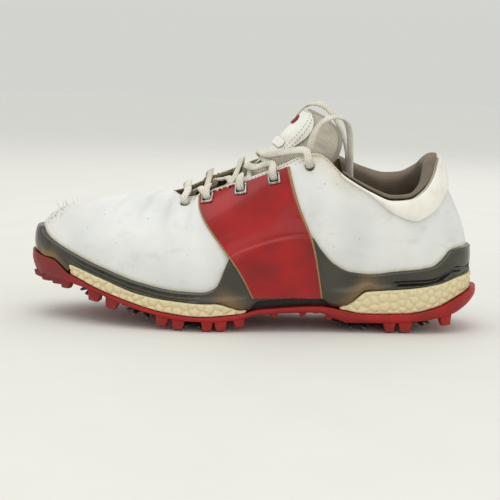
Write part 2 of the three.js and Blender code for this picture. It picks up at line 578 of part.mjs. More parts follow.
// ---------------------------------------------------------------- saddle panels
const saddleLeft = profile([[18, 0.505], [40, 0.482], [62, 0.455], [80, 0.425], [92, 0.405]]);
const saddleRight = profile([[18, 0.6], [40, 0.592], [62, 0.583], [85, 0.567], [112, 0.552]]);
const saddleMargin = 3; // below the throat edge
const saddleBottom = (turn) => frameBottom(stationOf(Math.abs(turn))) + 1.2;
const saddleClearance = 0.36 * frameThickness; // over the frame's wing, whose fall it has to bridge
const wingCrest = (t) => Math.max(...steps(t - 0.018, t + 0.018, 4).map(frameTop));
const saddleSpan = [0.41, 0.556]; // turns of its top corners
const saddleTopShare = 0.95;
const saddleFoot = 0.55; // the turn whose frame sets the panel's bottom edge
function saddlePanel(side) {
  const across = steps(0, 1, 8);
  const rows = 10;
  const point = (k, row, extra) => {
    const topTurn = lerp(...saddleSpan, k);
    const topZ = upperPoint(side * topTurn, saddleTopShare).z;
    const z = lerp(saddleBottom(side * saddleFoot), topZ, row);
    const t = lerp(saddleLeft(z), saddleRight(z), k);
    const turn = side * lerp(t, topTurn, row ** 3);
    const height = Math.min(z, topPoint(turn).z - saddleMargin);
    const crest = wingCrest(Math.abs(turn)) + 1;
    const over = 1 - smoothstep(height, crest, crest + 5);
    const base = Math.max(2 * gap, over * (frameOuter(turn, height) + saddleClearance));
    return sidePoint(turn, height, base + extra);
  };
  const grid = (extra) => across.map((k) => steps(0, 1, rows).map((row) => point(k, row, extra)));
  return thickSheet(grid(saddleThickness), grid(0));
}
for (const [sideName, side] of Object.entries(sides)) {
  const holes = eyeletTurns.map((_, k) => laceHole(k, side, gap)).filter((_, k) => !isPunched(k));
  addPart(`saddle_panel_${sideName}`, cut(saddlePanel(side), holes), colours.saddle, 0.15);
}

// ---------------------------------------------------------------- square eyelets
function squareRing(size, bore, height) {
  const square = (side) => [[-1, -1], [1, -1], [1, 1], [-1, 1]]
    .map(([x, y]) => new THREE.Vector2(x, y).multiplyScalar(side / 2));
  const shape = new THREE.Shape(square(size));
  shape.holes.push(new THREE.Path(square(bore).reverse()));
  return new THREE.ExtrudeGeometry(shape, { depth: height, bevelEnabled: false });
}
const eyeletSeat = saddleThickness + 3 * gap;
function eyeletBody() {
  const { outer, inner, flange, barrel, reach } = squareEyelet;
  return join([squareRing(outer, inner, flange).translate(0, 0, eyeletSeat),
    squareRing(barrel, inner, reach + flange / 2).translate(0, 0, eyeletSeat - reach)]);
}
for (const [sideName, side] of Object.entries(sides)) {
  eyeletTurns.forEach((turn, k) => {
    if (isPunched(k)) return;
    const { place, normal, up } = eyeletAt(side * turn);
    addPart(`eyelet_${sideName}_${k + 1}`, placed(eyeletBody(), place, normal, up), colours.steel, 0.25, 0.9);
  });
}

// ---------------------------------------------------------------- tongue
const instep = vec(xOf(topStation(cornerTurn)), 0,
  (topHeight(-1, cornerTurn) + topHeight(1, cornerTurn)) / 2);
const tongueTuck = 9; // how far the lower tongue reaches under the eyelet rows
const tongueLayerGap = 0.5; // between the tongue and what is sewn on it
const tongueDepth = -(skinThickness + liningThickness + gap + tongueClearance);
function tongueUnderThroat(turn) {
  const edgeOf = (side) => {
    const top = topPoint(side * turn);
    let v = 1;
    while (upperPoint(side * turn, v).distanceTo(top) < tongueTuck) v -= 0.005;
    const start = skinPoint(side * turn, v, tongueDepth);
    return { start, climb: skinPoint(side * turn, v + 0.02, tongueDepth).sub(start).normalize() };
  };
  const [near, far] = [edgeOf(-1), edgeOf(1)];
  const third = near.start.distanceTo(far.start) * 0.24;
  return [near.start, near.start.clone().addScaledVector(near.climb, third),
    far.start.clone().addScaledVector(far.climb, third), far.start];
}
// The free part stands up from the instep: its edge and its front, each as x and z from the
// instep, with the half-widths to either side.
const freeTongue = [[[-14, -24], [-33, -10], 20, 19], [[3, -17], [-24, 1], 18.5, 17.5],
  [[15, -8], [-15, 12], 18, 17], [[20, 3], [-8.5, 19], 18, 17], [[19, 13.5], [-4.5, 24], 16.5, 15.5],
  [[11, 21.5], [-2.5, 26.5], 12, 11]];
function tongueAboveInstep([edge, front, near, far]) {
  const at = (pair, y) => vec(instep.x + pair[0], y, instep.z + pair[1]);
  const [start, end, middle] = [at(edge, -near), at(edge, far), at(front, 0)];
  const pull = middle.clone().multiplyScalar(8).sub(start).sub(end).divideScalar(6);
  return [start, vec(pull.x, -near, pull.z), vec(pull.x, far, pull.z), end];
}
const tongueTurns = [0.335, 0.375, 0.425, 0.475];
const tongueSections = [...tongueTurns.map(tongueUnderThroat), ...freeTongue.map(tongueAboveInstep)];
const tongueRails = [0, 1, 2, 3]
  .map((corner) => new THREE.CatmullRomCurve3(tongueSections.map((section) => section[corner])));

const tongueSurface = (a, b) => bezier(...tongueRails.map((rail) => rail.getPoint(clamp(a, 0, 1))), b);
function tonguePoint(a, b, offset) {
  const [low, high] = [clamp(a, probe, 1 - probe), clamp(b, probe, 1 - probe)];
  const along = tongueSurface(low + probe, high).sub(tongueSurface(low - probe, high));
  const across = tongueSurface(low, high + probe).sub(tongueSurface(low, high - probe));
  return tongueSurface(a, b).addScaledVector(along.cross(across).normalize(), offset);
}
const tonguePad = profile([[0, 2.4], [0.4, 3], [0.6, tonguePadding], [0.9, tonguePadding], [1, 3.2]]);
function tongueSheet(from, to, left, right, rows, columns, outer, inner) {
  const grid = (offset) => steps(from, to, rows).map((a) => steps(left, right, columns)
    .map((b) => tonguePoint(a, b, offset(a, b))));
  return thickSheet(grid(outer), grid(inner));
}
const facePlace = { low: 0.5, high: 0.985, left: 0.2, right: 0.8, thickness: 1 };
const faceTop = tongueLayerGap + facePlace.thickness;
const tongueBody = tongueSheet(0, 1, 0, 1, 20, 10, () => 0, (a) => -tonguePad(a));
addPart('tongue_pad', tongueBody, colours.tongue, 0.9);
addPart('tongue_face', tongueSheet(facePlace.low, facePlace.high, facePlace.left, facePlace.right, 9, 6,
  () => faceTop, () => tongueLayerGap), colours.leather, 0.5);
const onFace = faceTop + tongueLayerGap;
const labelThickness = 0.6;
const keeperThickness = 1.2;
addPart('tongue_label', tongueSheet(0.72, 0.83, 0.41, 0.59, 3, 3, () => onFace + labelThickness,
  () => onFace), colours.saddle, 0.6);
addPart('lace_keeper', tongueSheet(0.56, 0.61, 0.3, 0.7, 2, 6, () => onFace + keeperThickness,
  () => onFace), colours.leather, 0.6);

// ---------------------------------------------------------------- lace
const laceRadius = laceDiameter / 2;
const overSkin = eyeletSeat + squareEyelet.flange + laceRadius + 2 * gap;
const underSkin = skinThickness + liningThickness + layerGap + laceRadius + 3 * gap;
const overEdge = laceRadius + 6 * gap;
const onTongue = laceRadius + 3 * gap;
const crossedOver = onTongue + laceDiameter + gap;
const tongueShares = [0.133, 0.228, 0.345, 0.44, 0.52]; // where each eyelet pair lies along the tongue

const eyelets = Object.fromEntries(Object.values(sides).map((side) => [side, eyeletTurns
  .map((turn, k) => ({ ...eyeletAt(side * turn), side, turn: side * turn, share: tongueShares[k] }))]));
const offHole = (eye, out, up = 0) => eye.place.clone().addScaledVector(eye.normal, out)
  .addScaledVector(eye.up, up);
const offEdge = (eye, out, past = 0) => skinPoint(eye.turn, 0.995, out).addScaledVector(eye.up, past);
const intoHole = (eye) => [offHole(eye, overSkin + gap, 3.4), offHole(eye, overSkin - laceRadius, 0.2),
  offHole(eye, 0)];
const acrossOf = (side, share) => (side < 0 ? share : 1 - share);

// Out from under one edge, over the tongue, over the other edge and down into the next hole.
function crossing(from, to) {
  const over = from.side < 0 ? onTongue : crossedOver;
  const along = (k) => lerp(from.share, to.share, k);
  return [offHole(from, -underSkin, 2.5), offEdge(from, -underSkin, 3),
    tonguePoint(along(0.3), acrossOf(from.side, 0.3), lerp(onTongue, over, 0.5)),
    tonguePoint(along(0.5), 0.5, over),
    tonguePoint(along(0.7), acrossOf(from.side, 0.7), lerp(onTongue, over, 0.5) + 1),
    offEdge(to, overEdge, 1.6), ...intoHole(to)];
}
function threadedHalf(side) {
  return eyeletTurns.slice(1).flatMap((_, k) => {
    const here = k % 2 === 0 ? side : -side;
    return crossing(eyelets[here][k], eyelets[-here][k + 1]);
  });
}
function toeBar() {
  const [near, far] = [eyelets[-1][0], eyelets[1][0]];
  const middle = offEdge(near, overEdge).lerp(offEdge(far, overEdge), 0.5);
  middle.z += 0.8;
  const half = (eye) => [offHole(eye, 0), offHole(eye, overSkin - laceRadius, 1), offEdge(eye, overEdge)];
  return [...half(near), middle, ...half(far).reverse()];
}
// The free ends after the top holes, going up, over and down inside the shoe.
const lateralFree = [
  [35.2, -24.4, 113], [35.6, -25, 121], [36.4, -26, 127], [38.5, -27, 133.5], [42, -26, 139.3],
  [47, -24, 142.8], [52, -21, 144], [57, -17, 143], [60.6, -13.5, 140], [62.6, -11, 135],
  [63.6, -9.6, 128], [64.2, -9, 118], [65, -9, 104], [66, -9.4, 88], [67.5, -10.4, 70], [70, -11.6, 54],
  [75, -13, 43], [83, -14, 38.6], [93, -14, 39], [101, -13.6, 40.3],
];
const medialFree = [
  [35, 22.4, 115], [33.4, 22.8, 123], [30, 23.4, 132.5], [28, 19.6, 141], [30.6, 12.6, 147.6],
  [36, 6, 151.4], [41.6, 0, 152.2], [47, -3, 149.8], [51.6, -4, 145], [55.4, -4, 139],
  [58.6, -3.6, 132], [61, -3, 124], [62.4, -2.4, 114], [63.4, -2, 98], [64.6, -2, 78], [67, -2, 58],
  [72, 0.4, 45.4], [80, 4, 38.9], [90, 7.6, 39], [99, 9.6, 40.1],
];
const freeEndsInstep = 36.07; // the instep's x where the free ends were laid out
const movedWithInstep = ([x, y, z]) => vec(x - freeEndsInstep + instep.x, y, z);
const holeTail = (side) => offHole(eyelets[side].at(-1), -underSkin, 1.5);

const laceParts = [
  [...lateralFree].reverse().map(movedWithInstep),
  [holeTail(-1), ...threadedHalf(-1).reverse(), ...toeBar(), ...threadedHalf(1), holeTail(1)],
  medialFree.map(movedWithInstep),
];
const laceCurve = new THREE.CatmullRomCurve3(laceParts.flat(), false, 'centripetal');

class Stretch extends THREE.Curve {
  constructor(whole, from, to) {
    super();
    Object.assign(this, { whole, from, to });
  }

  getPoint(k, target) {
    return this.whole.getPointAt(lerp(this.from, this.to, k), target);
  }
}
const laceSection = new THREE.Shape(steps(0, 2 * Math.PI, 8).slice(0, 8)
  .map((angle) => new THREE.Vector2(laceRadius * Math.cos(angle), laceRadius * Math.sin(angle))));
laceCurve.arcLengthDivisions = 3000;
const laceLength = laceCurve.getLength();
function shareOfPoint(wanted) {
  const missBy = (k) => laceCurve.getPointAt(k).distanceTo(wanted);
  return steps(0, 1, laceCurve.arcLengthDivisions)
    .reduce((best, k) => (missBy(k) < missBy(best) ? k : best), 0);
}
const laceJoints = [laceParts[1][0], laceParts[1].at(-1)].map(shareOfPoint);
const laceGap = (2.5 * gap) / laceLength;
const laceStretches = {
  lace_end_lateral: [0, laceJoints[0] - laceGap], lace_threaded: laceJoints,
  lace_end_medial: [laceJoints[1] + laceGap, 1],
};
const laceStep = 1.9 * laceDiameter;
for (const [name, [from, to]] of Object.entries(laceStretches)) {
  const path = new Stretch(laceCurve, from, to);
  const geometry = new THREE.ExtrudeGeometry(laceSection, { extrudePath: path,
    steps: Math.round(((to - from) * laceLength) / laceStep), bevelEnabled: false });
  addPart(name, geometry, colours.lace, 0.9);
}
for (const [name, share, way] of [['aglet_lateral', 0, -1], ['aglet_medial', 1, 1]]) {
  const along = laceCurve.getTangentAt(share).multiplyScalar(way);
  const middle = laceCurve.getPointAt(share).addScaledVector(along, gap + aglet.length / 2);
  const tip = uprightCylinder(aglet.radius, aglet.radius, aglet.length, 10);
  addPart(name, placed(tip, middle, along, vec(0, 1, 0)), colours.lace, 0.3);
}

// ---------------------------------------------------------------- cleats and their receptacles
function receptacleBody() {
  const outer = uprightCylinder(receptacle.radius, receptacle.radius, receptacle.height, 12)
    .translate(0, 0, receptacle.recess + receptacle.height / 2);
  const bore = cleat.stud + gap;
  const depth = cleat.studLength + gap;
  return cut(outer, [uprightCylinder(bore, bore, 2 * depth, 8)]);
}
function cleatBody() {
  const flange = uprightCylinder(cleat.flange * 0.86, cleat.flange, cleat.flangeThickness, 10)
    .rotateX(Math.PI).translate(0, 0, -cleat.standoff - cleat.flangeThickness / 2);
  const root = cleat.standoff + cleat.flangeThickness / 2;
  const stud = uprightCylinder(cleat.stud, cleat.stud, cleat.studLength + root, 8)
    .translate(0, 0, (cleat.studLength - root) / 2);
  const foot = cleat.standoff + cleat.flangeThickness;
  const legs = Array.from({ length: cleat.legs }, (_, k) => {
    const around = (2 * Math.PI * k) / cleat.legs;
    const from = vec(cleat.flange * 0.66, 0, -foot + 0.8);
    const to = vec(cleat.reach - 0.8, 0, -foot - cleat.drop);
    const leg = uprightCylinder(1.9, 1, from.distanceTo(to), 4);
    return placed(leg, from.clone().lerp(to, 0.5), from.clone().sub(to), vec(0, 1, 0)).rotateZ(around);
  });
  return join([flange, stud, ...legs]);
}
for (const spot of cleatPlaces) {
  const mount = new THREE.Group();
  mount.position.copy(spot.place);
  mount.quaternion.setFromUnitVectors(vec(0, 0, 1), spot.up);
  addPart(`receptacle_${spot.name}`, receptacleBody(), colours.receptacle, 0.5, 0, mount);
  addPart(`cleat_${spot.name}`, cleatBody(), colours.cleat, 0.4, 0, mount);
  shoe.add(mount);
}

// The origin is under the middle of the whole, on the ground.
const extent = new THREE.Box3().setFromObject(shoe, true);
const middle = extent.getCenter(vec(0, 0, 0));
shoe.position.set(-middle.x, -middle.y, -extent.min.z);

export default shoe;
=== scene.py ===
"""Looks of a worn, spiked golf shoe for the left foot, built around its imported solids.

Lengths inside the classes are millimetres in the last maker's drawing: +Z up, toe towards -X,
the outer (lateral) side of the foot towards -Y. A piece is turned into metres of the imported
frame when it is finished.
"""

from __future__ import annotations

import bisect
import json
import logging
import math
import random
from dataclasses import dataclass, field
from enum import Enum
from math import copysign, cos, pi, radians, sin, sqrt
from typing import Callable, Optional, Sequence

import bmesh
import bpy
from mathutils import Matrix, Vector, kdtree, noise


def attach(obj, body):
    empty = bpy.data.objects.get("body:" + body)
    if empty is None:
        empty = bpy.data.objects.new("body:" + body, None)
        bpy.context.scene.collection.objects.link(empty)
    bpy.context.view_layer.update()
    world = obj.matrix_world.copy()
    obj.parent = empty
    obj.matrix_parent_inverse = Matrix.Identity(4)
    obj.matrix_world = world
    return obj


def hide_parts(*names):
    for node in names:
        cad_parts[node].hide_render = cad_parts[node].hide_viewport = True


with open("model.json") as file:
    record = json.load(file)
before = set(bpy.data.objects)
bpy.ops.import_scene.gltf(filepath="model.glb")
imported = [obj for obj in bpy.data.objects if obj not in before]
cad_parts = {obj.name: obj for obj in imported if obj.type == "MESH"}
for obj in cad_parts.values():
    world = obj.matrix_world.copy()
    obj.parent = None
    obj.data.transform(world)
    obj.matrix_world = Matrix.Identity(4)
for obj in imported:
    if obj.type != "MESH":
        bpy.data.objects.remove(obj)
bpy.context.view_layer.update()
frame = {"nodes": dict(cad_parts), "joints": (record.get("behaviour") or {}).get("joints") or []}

log = logging.getLogger("golf_shoe")
Place = Callable[[float, float], Vector]
Height = Callable[[float], float]
MM = 0.001
WAVE_PITCH = 0.314  # the wave texture's scale for one band per unit
BMesh, BMFace, BMVert = bmesh.types.BMesh, bmesh.types.BMFace, bmesh.types.BMVert
NodeSocket, Material = bpy.types.NodeSocket, bpy.types.Material


# ------------------------------------------------------------------ numbers and curves
def lerp(a: float, b: float, k: float) -> float:
    """The value a share k of the way from a to b."""
    return a + (b - a) * k


def clamp(x: float, low: float, high: float) -> float:
    """x kept between low and high."""
    return max(low, min(high, x))


def smoothstep(x: float, low: float, high: float) -> float:
    """0 below low, 1 above high, and a soft ramp between them."""
    k = clamp((x - low) / (high - low), 0.0, 1.0)
    return k * k * (3 - 2 * k)


def steps(start: float, end: float, count: int) -> list[float]:
    """count + 1 even values from start to end."""
    return [lerp(start, end, i / count) for i in range(count + 1)]


def turned(radius: float, z: float, u: float) -> Vector:
    """A point at a share u of a turn about Z."""
    return Vector((radius * cos(2 * pi * u), radius * sin(2 * pi * u), z))

def hump(x: float, middle: float, half: float) -> float:
    """A smooth bump of height 1 at middle, gone at half away."""
    return 1 - smoothstep(abs(x - middle), 0, half)


class Profile:
    """A smooth curve through a few points that never overshoots them."""

    def __init__(self, points: Sequence[tuple[float, float]]) -> None:
        """Works out the slope at each of the points."""
        self.x = [p[0] for p in points]
        self.y = [p[1] for p in points]
        count = len(points) - 1
        secant = [(self.y[i + 1] - self.y[i]) / (self.x[i + 1] - self.x[i]) for i in range(count)]
        self.slope = []
        for i in range(count + 1):
            before, after = secant[max(i - 1, 0)], secant[min(i, count - 1)]
            self.slope.append(0.0 if before * after <= 0 else 2 * before * after / (before + after))

    def __call__(self, x: float) -> float:
        """The curve's height at x, level beyond its ends."""
        i = int(clamp(bisect.bisect_right(self.x, x) - 1, 0, len(self.x) - 2))
        span = self.x[i + 1] - self.x[i]
        k = clamp((x - self.x[i]) / span, 0.0, 1.0)
        m = 1 - k
        start = self.y[i] * (1 + 2 * k) * m * m + self.slope[i] * span * k * m * m
        return start + self.y[i + 1] * k * k * (3 - 2 * k) - self.slope[i + 1] * span * k * k * m


def bezier(a: Vector, b: Vector, c: Vector, d: Vector, k: float) -> Vector:
    """A point on the cubic through a and d with handles b and c."""
    m = 1 - k
    return a * m**3 + b * (3 * m * m * k) + c * (3 * m * k * k) + d * k**3


class SmoothLine:
    """A centripetal curve through points, the same as the solids' own."""

    def __init__(self, points: Sequence[Vector]) -> None:
        """Keeps the points that the curve passes through."""
        self.points = list(points)

    def at(self, t: float) -> Vector:
        """The point a share t of the way along, counted in points.

        Args:
            t: 0 at the first point and 1 at the last.

        Returns:
            The point.
        """
        pts = self.points
        p = (len(pts) - 1) * clamp(t, 0.0, 1.0)
        i = min(int(p), len(pts) - 2)
        w = p - i
        before = pts[i - 1] if i > 0 else pts[0] * 2 - pts[1]
        after = pts[i + 2] if i + 2 < len(pts) else pts[-1] * 2 - pts[-2]
        a, b = pts[i], pts[i + 1]
        d1 = (b - a).length ** 0.5
        d0 = (a - before).length ** 0.5 or d1
        d2 = (after - b).length ** 0.5 or d1
        ta = ((a - before) / d0 - (b - before) / (d0 + d1) + (b - a) / d1) * d1
        tb = ((b - a) / d1 - (after - a) / (d1 + d2) + (after - b) / d2) * d1
        return (a + ta * w + (b * 3 - a * 3 - ta * 2 - tb) * w * w
                + (a * 2 - b * 2 + ta + tb) * w**3)


class Side(Enum):
    """The two sides of the foot; the value is the sign of Y."""

    LATERAL = -1
    MEDIAL = 1


class Body(str, Enum):
    """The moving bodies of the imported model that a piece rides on."""

    SHOE = "shoe"
    TONGUE = "tongue"


# ------------------------------------------------------------------ the last
@dataclass
class Last:
    """The form that the whole shoe follows.

    A turn runs from 0 at the toe to 1 at the heel, and is negative on the lateral side. A
    station is a share of the shoe's length. v runs from 0 at the feather edge to 1 at the top.
    """

    length: float = 311.0
    ball_width: float = 108.0
    feather_inset: float = 5.0
    feather_inset_toe: float = 0.4
    feather_inset_heel: float = 3.0
    throat_turn: float = 0.35
    corner_turn: float = 0.59
    skin: float = 1.4
    lining: float = 1.0
    stiffener: float = 1.6
    gap: float = 0.3
    layer_gap: float = 0.45
    probe: float = 0.01
    outline_step: float = 0.012
    end_roundness: float = 0.8
    foam_rear: float = 0.487
    heel_foam_front: float = 0.692
    foam_lip: float = 1.2
    width_shape: Profile = Profile([
        (0, 0.93), (0.14, 1), (0.26, 1.1), (0.33, 1.09), (0.4, 1.045), (0.52, 0.807), (0.585, 0.742),
        (0.65, 0.77), (0.71, 0.86), (0.78, 0.97), (0.845, 1.03), (1, 0.95)])
    centre_shift: Profile = Profile([
        (0, 9), (0.15, 8), (0.3, 3), (0.45, -3), (0.6, -4), (0.8, -1), (1, 0)])
    foam_top: Profile = Profile([
        (0, 46), (0.03, 43.5), (0.095, 39.6), (0.17, 32), (0.255, 23.3), (0.32, 20.3), (0.4, 18.9),
        (0.48, 20), (0.58, 23), (0.68, 25.6), (0.783, 29), (0.84, 30.5), (0.9, 33.3), (0.957, 38.5),
        (1, 40.5)])
    foam_bottom: Profile = Profile([
        (0, 41), (0.1, 32.8), (0.16, 25.2), (0.233, 18), (0.309, 12.5), (0.384, 10.4), (0.471, 12.6),
        (0.518, 15.9), (0.643, 18.2), (0.7, 15.6), (0.74, 13.3), (0.834, 13.9), (0.9, 17.9),
        (0.947, 24.3), (1, 31)])
    outsole_bottom: Profile = Profile([
        (0, 38), (0.016, 31), (0.04, 28.3), (0.08, 27.4), (0.127, 25), (0.169, 21), (0.21, 16.6),
        (0.275, 11.2), (0.352, 7.2), (0.416, 6.8), (0.471, 8.6), (0.518, 12), (0.643, 13.4),
        (0.68, 9.5), (0.71, 6.8), (0.815, 7.2), (0.879, 9.3), (0.934, 12.6), (0.969, 17.5), (1, 24)])
    top_station: Profile = Profile([
        (0, 0.117), (0.1, 0.133), (0.2, 0.188), (0.3, 0.265), (0.35, 0.318), (0.4, 0.368), (0.5, 0.494),
        (0.59, 0.616), (0.65, 0.693), (0.7, 0.751), (0.8, 0.831), (0.9, 0.883), (1, 0.9)])
    ridge_shift: Profile = Profile([(0, 9), (0.2, 8), (0.35, 5)])
    ridge_height: Profile = Profile([(0, 80), (0.1, 81), (0.2, 84), (0.3, 87.3), (0.35, 89)])
    throat_half: tuple[Profile, Profile] = (
        Profile([
            (0.35, 0), (0.365, 11), (0.385, 17), (0.42, 21), (0.5, 25), (0.59, 29), (0.65, 33),
            (0.7, 34.5), (0.8, 33), (0.9, 22), (0.96, 12), (1, 0)]),
        Profile([
            (0.35, 0), (0.365, 9), (0.385, 14), (0.42, 17), (0.5, 22), (0.59, 28), (0.65, 32),
            (0.7, 33.5), (0.8, 32), (0.9, 21.5), (0.96, 12), (1, 0)]))
    edge_heights: tuple[Profile, Profile] = (
        Profile([
            (0.35, 89), (0.37, 87), (0.39, 87), (0.42, 90.5), (0.46, 96.5), (0.5, 103), (0.55, 112.5),
            (0.58, 119), (0.6, 120), (0.65, 105), (0.7, 95), (0.75, 90), (0.8, 91), (0.85, 97),
            (0.9, 107), (0.95, 115), (1, 118)]),
        Profile([
            (0.35, 89), (0.37, 89.5), (0.39, 92), (0.42, 97), (0.46, 103.5), (0.5, 110.5), (0.55, 118),
            (0.58, 123), (0.6, 123.5), (0.65, 112), (0.7, 104), (0.75, 100.5), (0.8, 101.5),
            (0.85, 106.5), (0.9, 112.5), (0.95, 116.5), (1, 118)]))
    top_slope: tuple[Profile, Profile] = (
        Profile([
            (0.35, 0), (0.365, 9), (0.385, 16), (0.42, 28), (0.5, 44), (0.59, 60), (0.65, 80),
            (0.8, 86), (1, 74)]),
        Profile([
            (0.35, 0), (0.365, 7), (0.385, 12), (0.42, 22), (0.5, 36), (0.59, 55), (0.65, 76),
            (0.8, 84), (1, 74)]))
    side_lift: Profile = Profile([(0, 0.62), (0.2, 0.55), (0.5, 0.45), (0.8, 0.4), (1, 0.4)])
    side_bulge: Profile = Profile([(0, 3.5), (0.3, 3), (0.5, 1), (0.7, 3), (1, 5)])
    top_reach: Profile = Profile([(0, 0.62), (0.15, 0.6), (0.35, 0.52), (0.6, 0.4), (1, 0.34)])
    _lines: dict[float, tuple] = field(default_factory=dict)

    # the sole's outline
    def station_of(self, turn: float) -> float:
        """Share of the length at a turn."""
        return (1 - cos(pi * turn)) / 2

    def turn_of(self, station: float) -> float:
        """The turn at a share of the length."""
        return math.acos(1 - 2 * clamp(station, 0.0, 1.0)) / pi

    def x_of(self, station: float) -> float:
        """X at a share of the length."""
        return (station - 0.5) * self.length

    def station_at(self, x: float) -> float:
        """Share of the length at X."""
        return x / self.length + 0.5

    def outline(self, turn: float) -> Vector:
        """A point on the sole's outline."""
        t = abs(turn)
        half = self.ball_width / 2 * self.width_shape(t) * abs(sin(pi * t)) ** self.end_roundness
        station = self.station_of(t)
        return Vector((self.x_of(station), self.centre_shift(station) + copysign(half, turn), 0))

    def outward(self, turn: float) -> Vector:
        """The outline's level normal, away from the shoe."""
        ahead = self.outline(wrap_turn(turn + self.outline_step))
        behind = self.outline(wrap_turn(turn - self.outline_step))
        return Vector((behind.y - ahead.y, ahead.x - behind.x, 0)).normalized()

    def edge(self, turn: float, inset: float, z: float) -> Vector:
        """A point inset from the outline, at a height."""
        p = self.outline(turn) - self.outward(turn) * inset
        p.z = z
        return p

    def edge_at(self, turn: float, inset: float, height: Height) -> Vector:
        """The same, standing at the height that a profile gives for its own station."""
        p = self.edge(turn, inset, 0)
        p.z = height(self.station_at(p.x))
        return p

    # heights along the sole
    def fore_foam_top(self, s: float) -> float:
        """Top of the forefoot foam, which tapers out behind the ball."""
        thin = self.foam_bottom(s) + self.foam_lip
        return lerp(self.foam_top(s), thin, smoothstep(s, 0.42, self.foam_rear))

    def heel_foam_top(self, s: float) -> float:
        """Top of the heel foam, which tapers out at the waist."""
        return lerp(self.foam_bottom(s) + self.foam_lip, self.foam_top(s),
                    smoothstep(s, self.heel_foam_front, 0.748))

    def outsole_top(self, s: float) -> float:
        """Top of the outsole, which climbs the toe as a bumper."""
        bumper = 1 - smoothstep(s, 0.055, 0.1)
        return lerp(self.foam_bottom(s), self.foam_top(s), bumper) - self.layer_gap

    def tread_slope(self, s: float) -> float:
        """Steepness of the outsole's underside."""
        return (self.outsole_bottom(s + 0.01) - self.outsole_bottom(s - 0.01)) / (0.02 * self.length)

    def footing_top(self, s: float) -> float:
        """What the frame stands on: a foam block, or the outsole where there is none."""
        if s < self.foam_rear:
            return max(self.outsole_top(s), self.fore_foam_top(s))
        return self.heel_foam_top(s) if s > self.heel_foam_front else self.outsole_top(s)

    def feather_height(self, s: float) -> float:
        """Height of the upper's bottom edge."""
        return self.foam_top(s) + 2.3

    # the upper
    def inset_at(self, t: float) -> float:
        """How far the upper's bottom edge stands inside the sole's outline."""
        end = self.feather_inset_toe if t < 0.5 else self.feather_inset_heel
        return self.feather_inset + end * cos(pi * t) ** 2

    def top(self, turn: float) -> Vector:
        """The top end of a meridian: the vamp's ridge, or the throat and top line."""
        t, k = abs(turn), 0 if turn < 0 else 1
        if t <= self.throat_turn:
            return Vector((self.x_of(self.top_station(t)), self.ridge_shift(t), self.ridge_height(t)))
        y = lerp(self.ridge_shift(t), 0, smoothstep(t, self.throat_turn, self.corner_turn))
        y += copysign(self.throat_half[k](t), turn)
        return Vector((self.x_of(self.top_station(t)), y, self.edge_heights[k](t)))

    def meridian(self, turn: float) -> tuple[Vector, Vector, Vector, Vector]:
        """The four handles of the line from the feather edge to the top."""
        t, k = abs(turn), 0 if turn < 0 else 1
        foot = self.edge_at(turn, self.inset_at(t), self.feather_height)
        top = self.top(turn)
        level = Vector((foot.x - top.x, foot.y - top.y, 0))
        reach = level.length
        level.normalize()
        slope = radians(self.top_slope[k](t))
        if t <= self.throat_turn:
            run = self.x_of(self.top_station(t + 0.02)) - self.x_of(self.top_station(t))
            drop = -(self.ridge_height(t + 0.02) - self.ridge_height(t)) / run * level.x
        else:
            drop = math.tan(min(slope, 1.5))
        leave = Vector((level.x, level.y, -drop)).normalized()
        span = max(reach, (top.z - foot.z) * sin(slope))
        low = foot + self.outward(turn) * self.side_bulge(t)
        low.z += (top.z - foot.z) * self.side_lift(t)
        return foot, low, top + leave * (span * self.top_reach(t)), top

    def upper(self, turn: float, v: float) -> Vector:
        """A point on the upper's outer surface."""
        if turn not in self._lines:
            self._lines[turn] = self.meridian(turn)
        return bezier(*self._lines[turn], v)

    def _raw_normal(self, turn: float, v: float) -> Vector:
        """The surface's normal from its own neighbourhood."""
        d = self.probe
        middle = clamp(v, d, 1 - 2 * d)
        along = self.upper(wrap_turn(turn + d), middle) - self.upper(wrap_turn(turn - d), middle)
        up = self.upper(turn, middle + d) - self.upper(turn, middle - d)
        return -along.cross(up).normalized()

    def normal(self, turn: float, v: float) -> Vector:
        """The upper's outward normal, shared by both sides along the ridge."""
        own = self._raw_normal(turn, v)
        if v > 1 - self.probe and abs(turn) <= self.throat_turn:
            return (own + self._raw_normal(-turn, v)).normalized()
        return own

    def skin_point(self, turn: float, v: float, offset: float) -> Vector:
        """A point off the upper's surface."""
        return self.upper(turn, v) + self.normal(turn, v) * offset

    def feather_z(self, turn: float) -> float:
        """Height of the feather edge at a turn."""
        return self.upper(turn, 0).z

    def share_at(self, turn: float, z: float) -> float:
        """v of the meridian's point at a height."""
        low, high = 0.0, 1.0
        for _ in range(18):
            middle = (low + high) / 2
            if self.upper(turn, middle).z < z:
                low = middle
            else:
                high = middle
        return low

    def side_point(self, turn: float, z: float, offset: float) -> Vector:
        """A point off the side at any height, above or below the feather edge."""
        if z > self.feather_z(turn):
            return self.skin_point(turn, self.share_at(turn, z), offset)
        return self.edge(turn, self.inset_at(abs(turn)) - offset, z)

    # layers under the skin
    def stiffener_zone(self, t: float) -> float:
        """1 where the toe puff or the heel counter lies under the skin."""
        return max(1 - smoothstep(t, 0.16, 0.24), smoothstep(t, 0.66, 0.74))

    def lining_top(self, t: float) -> float:
        """Offset of the lining's outer face."""
        return -(self.skin + self.layer_gap + (self.stiffener + self.layer_gap) * self.stiffener_zone(t))

    def lining_inside(self, t: float) -> float:
        """Offset of the lining's inner face."""
        return self.lining_top(t) - self.lining


def wrap_turn(turn: float) -> float:
    """A turn brought back between -1 and 1."""
    return turn - 2 * math.floor((turn + 1) / 2)


LAST = Last()


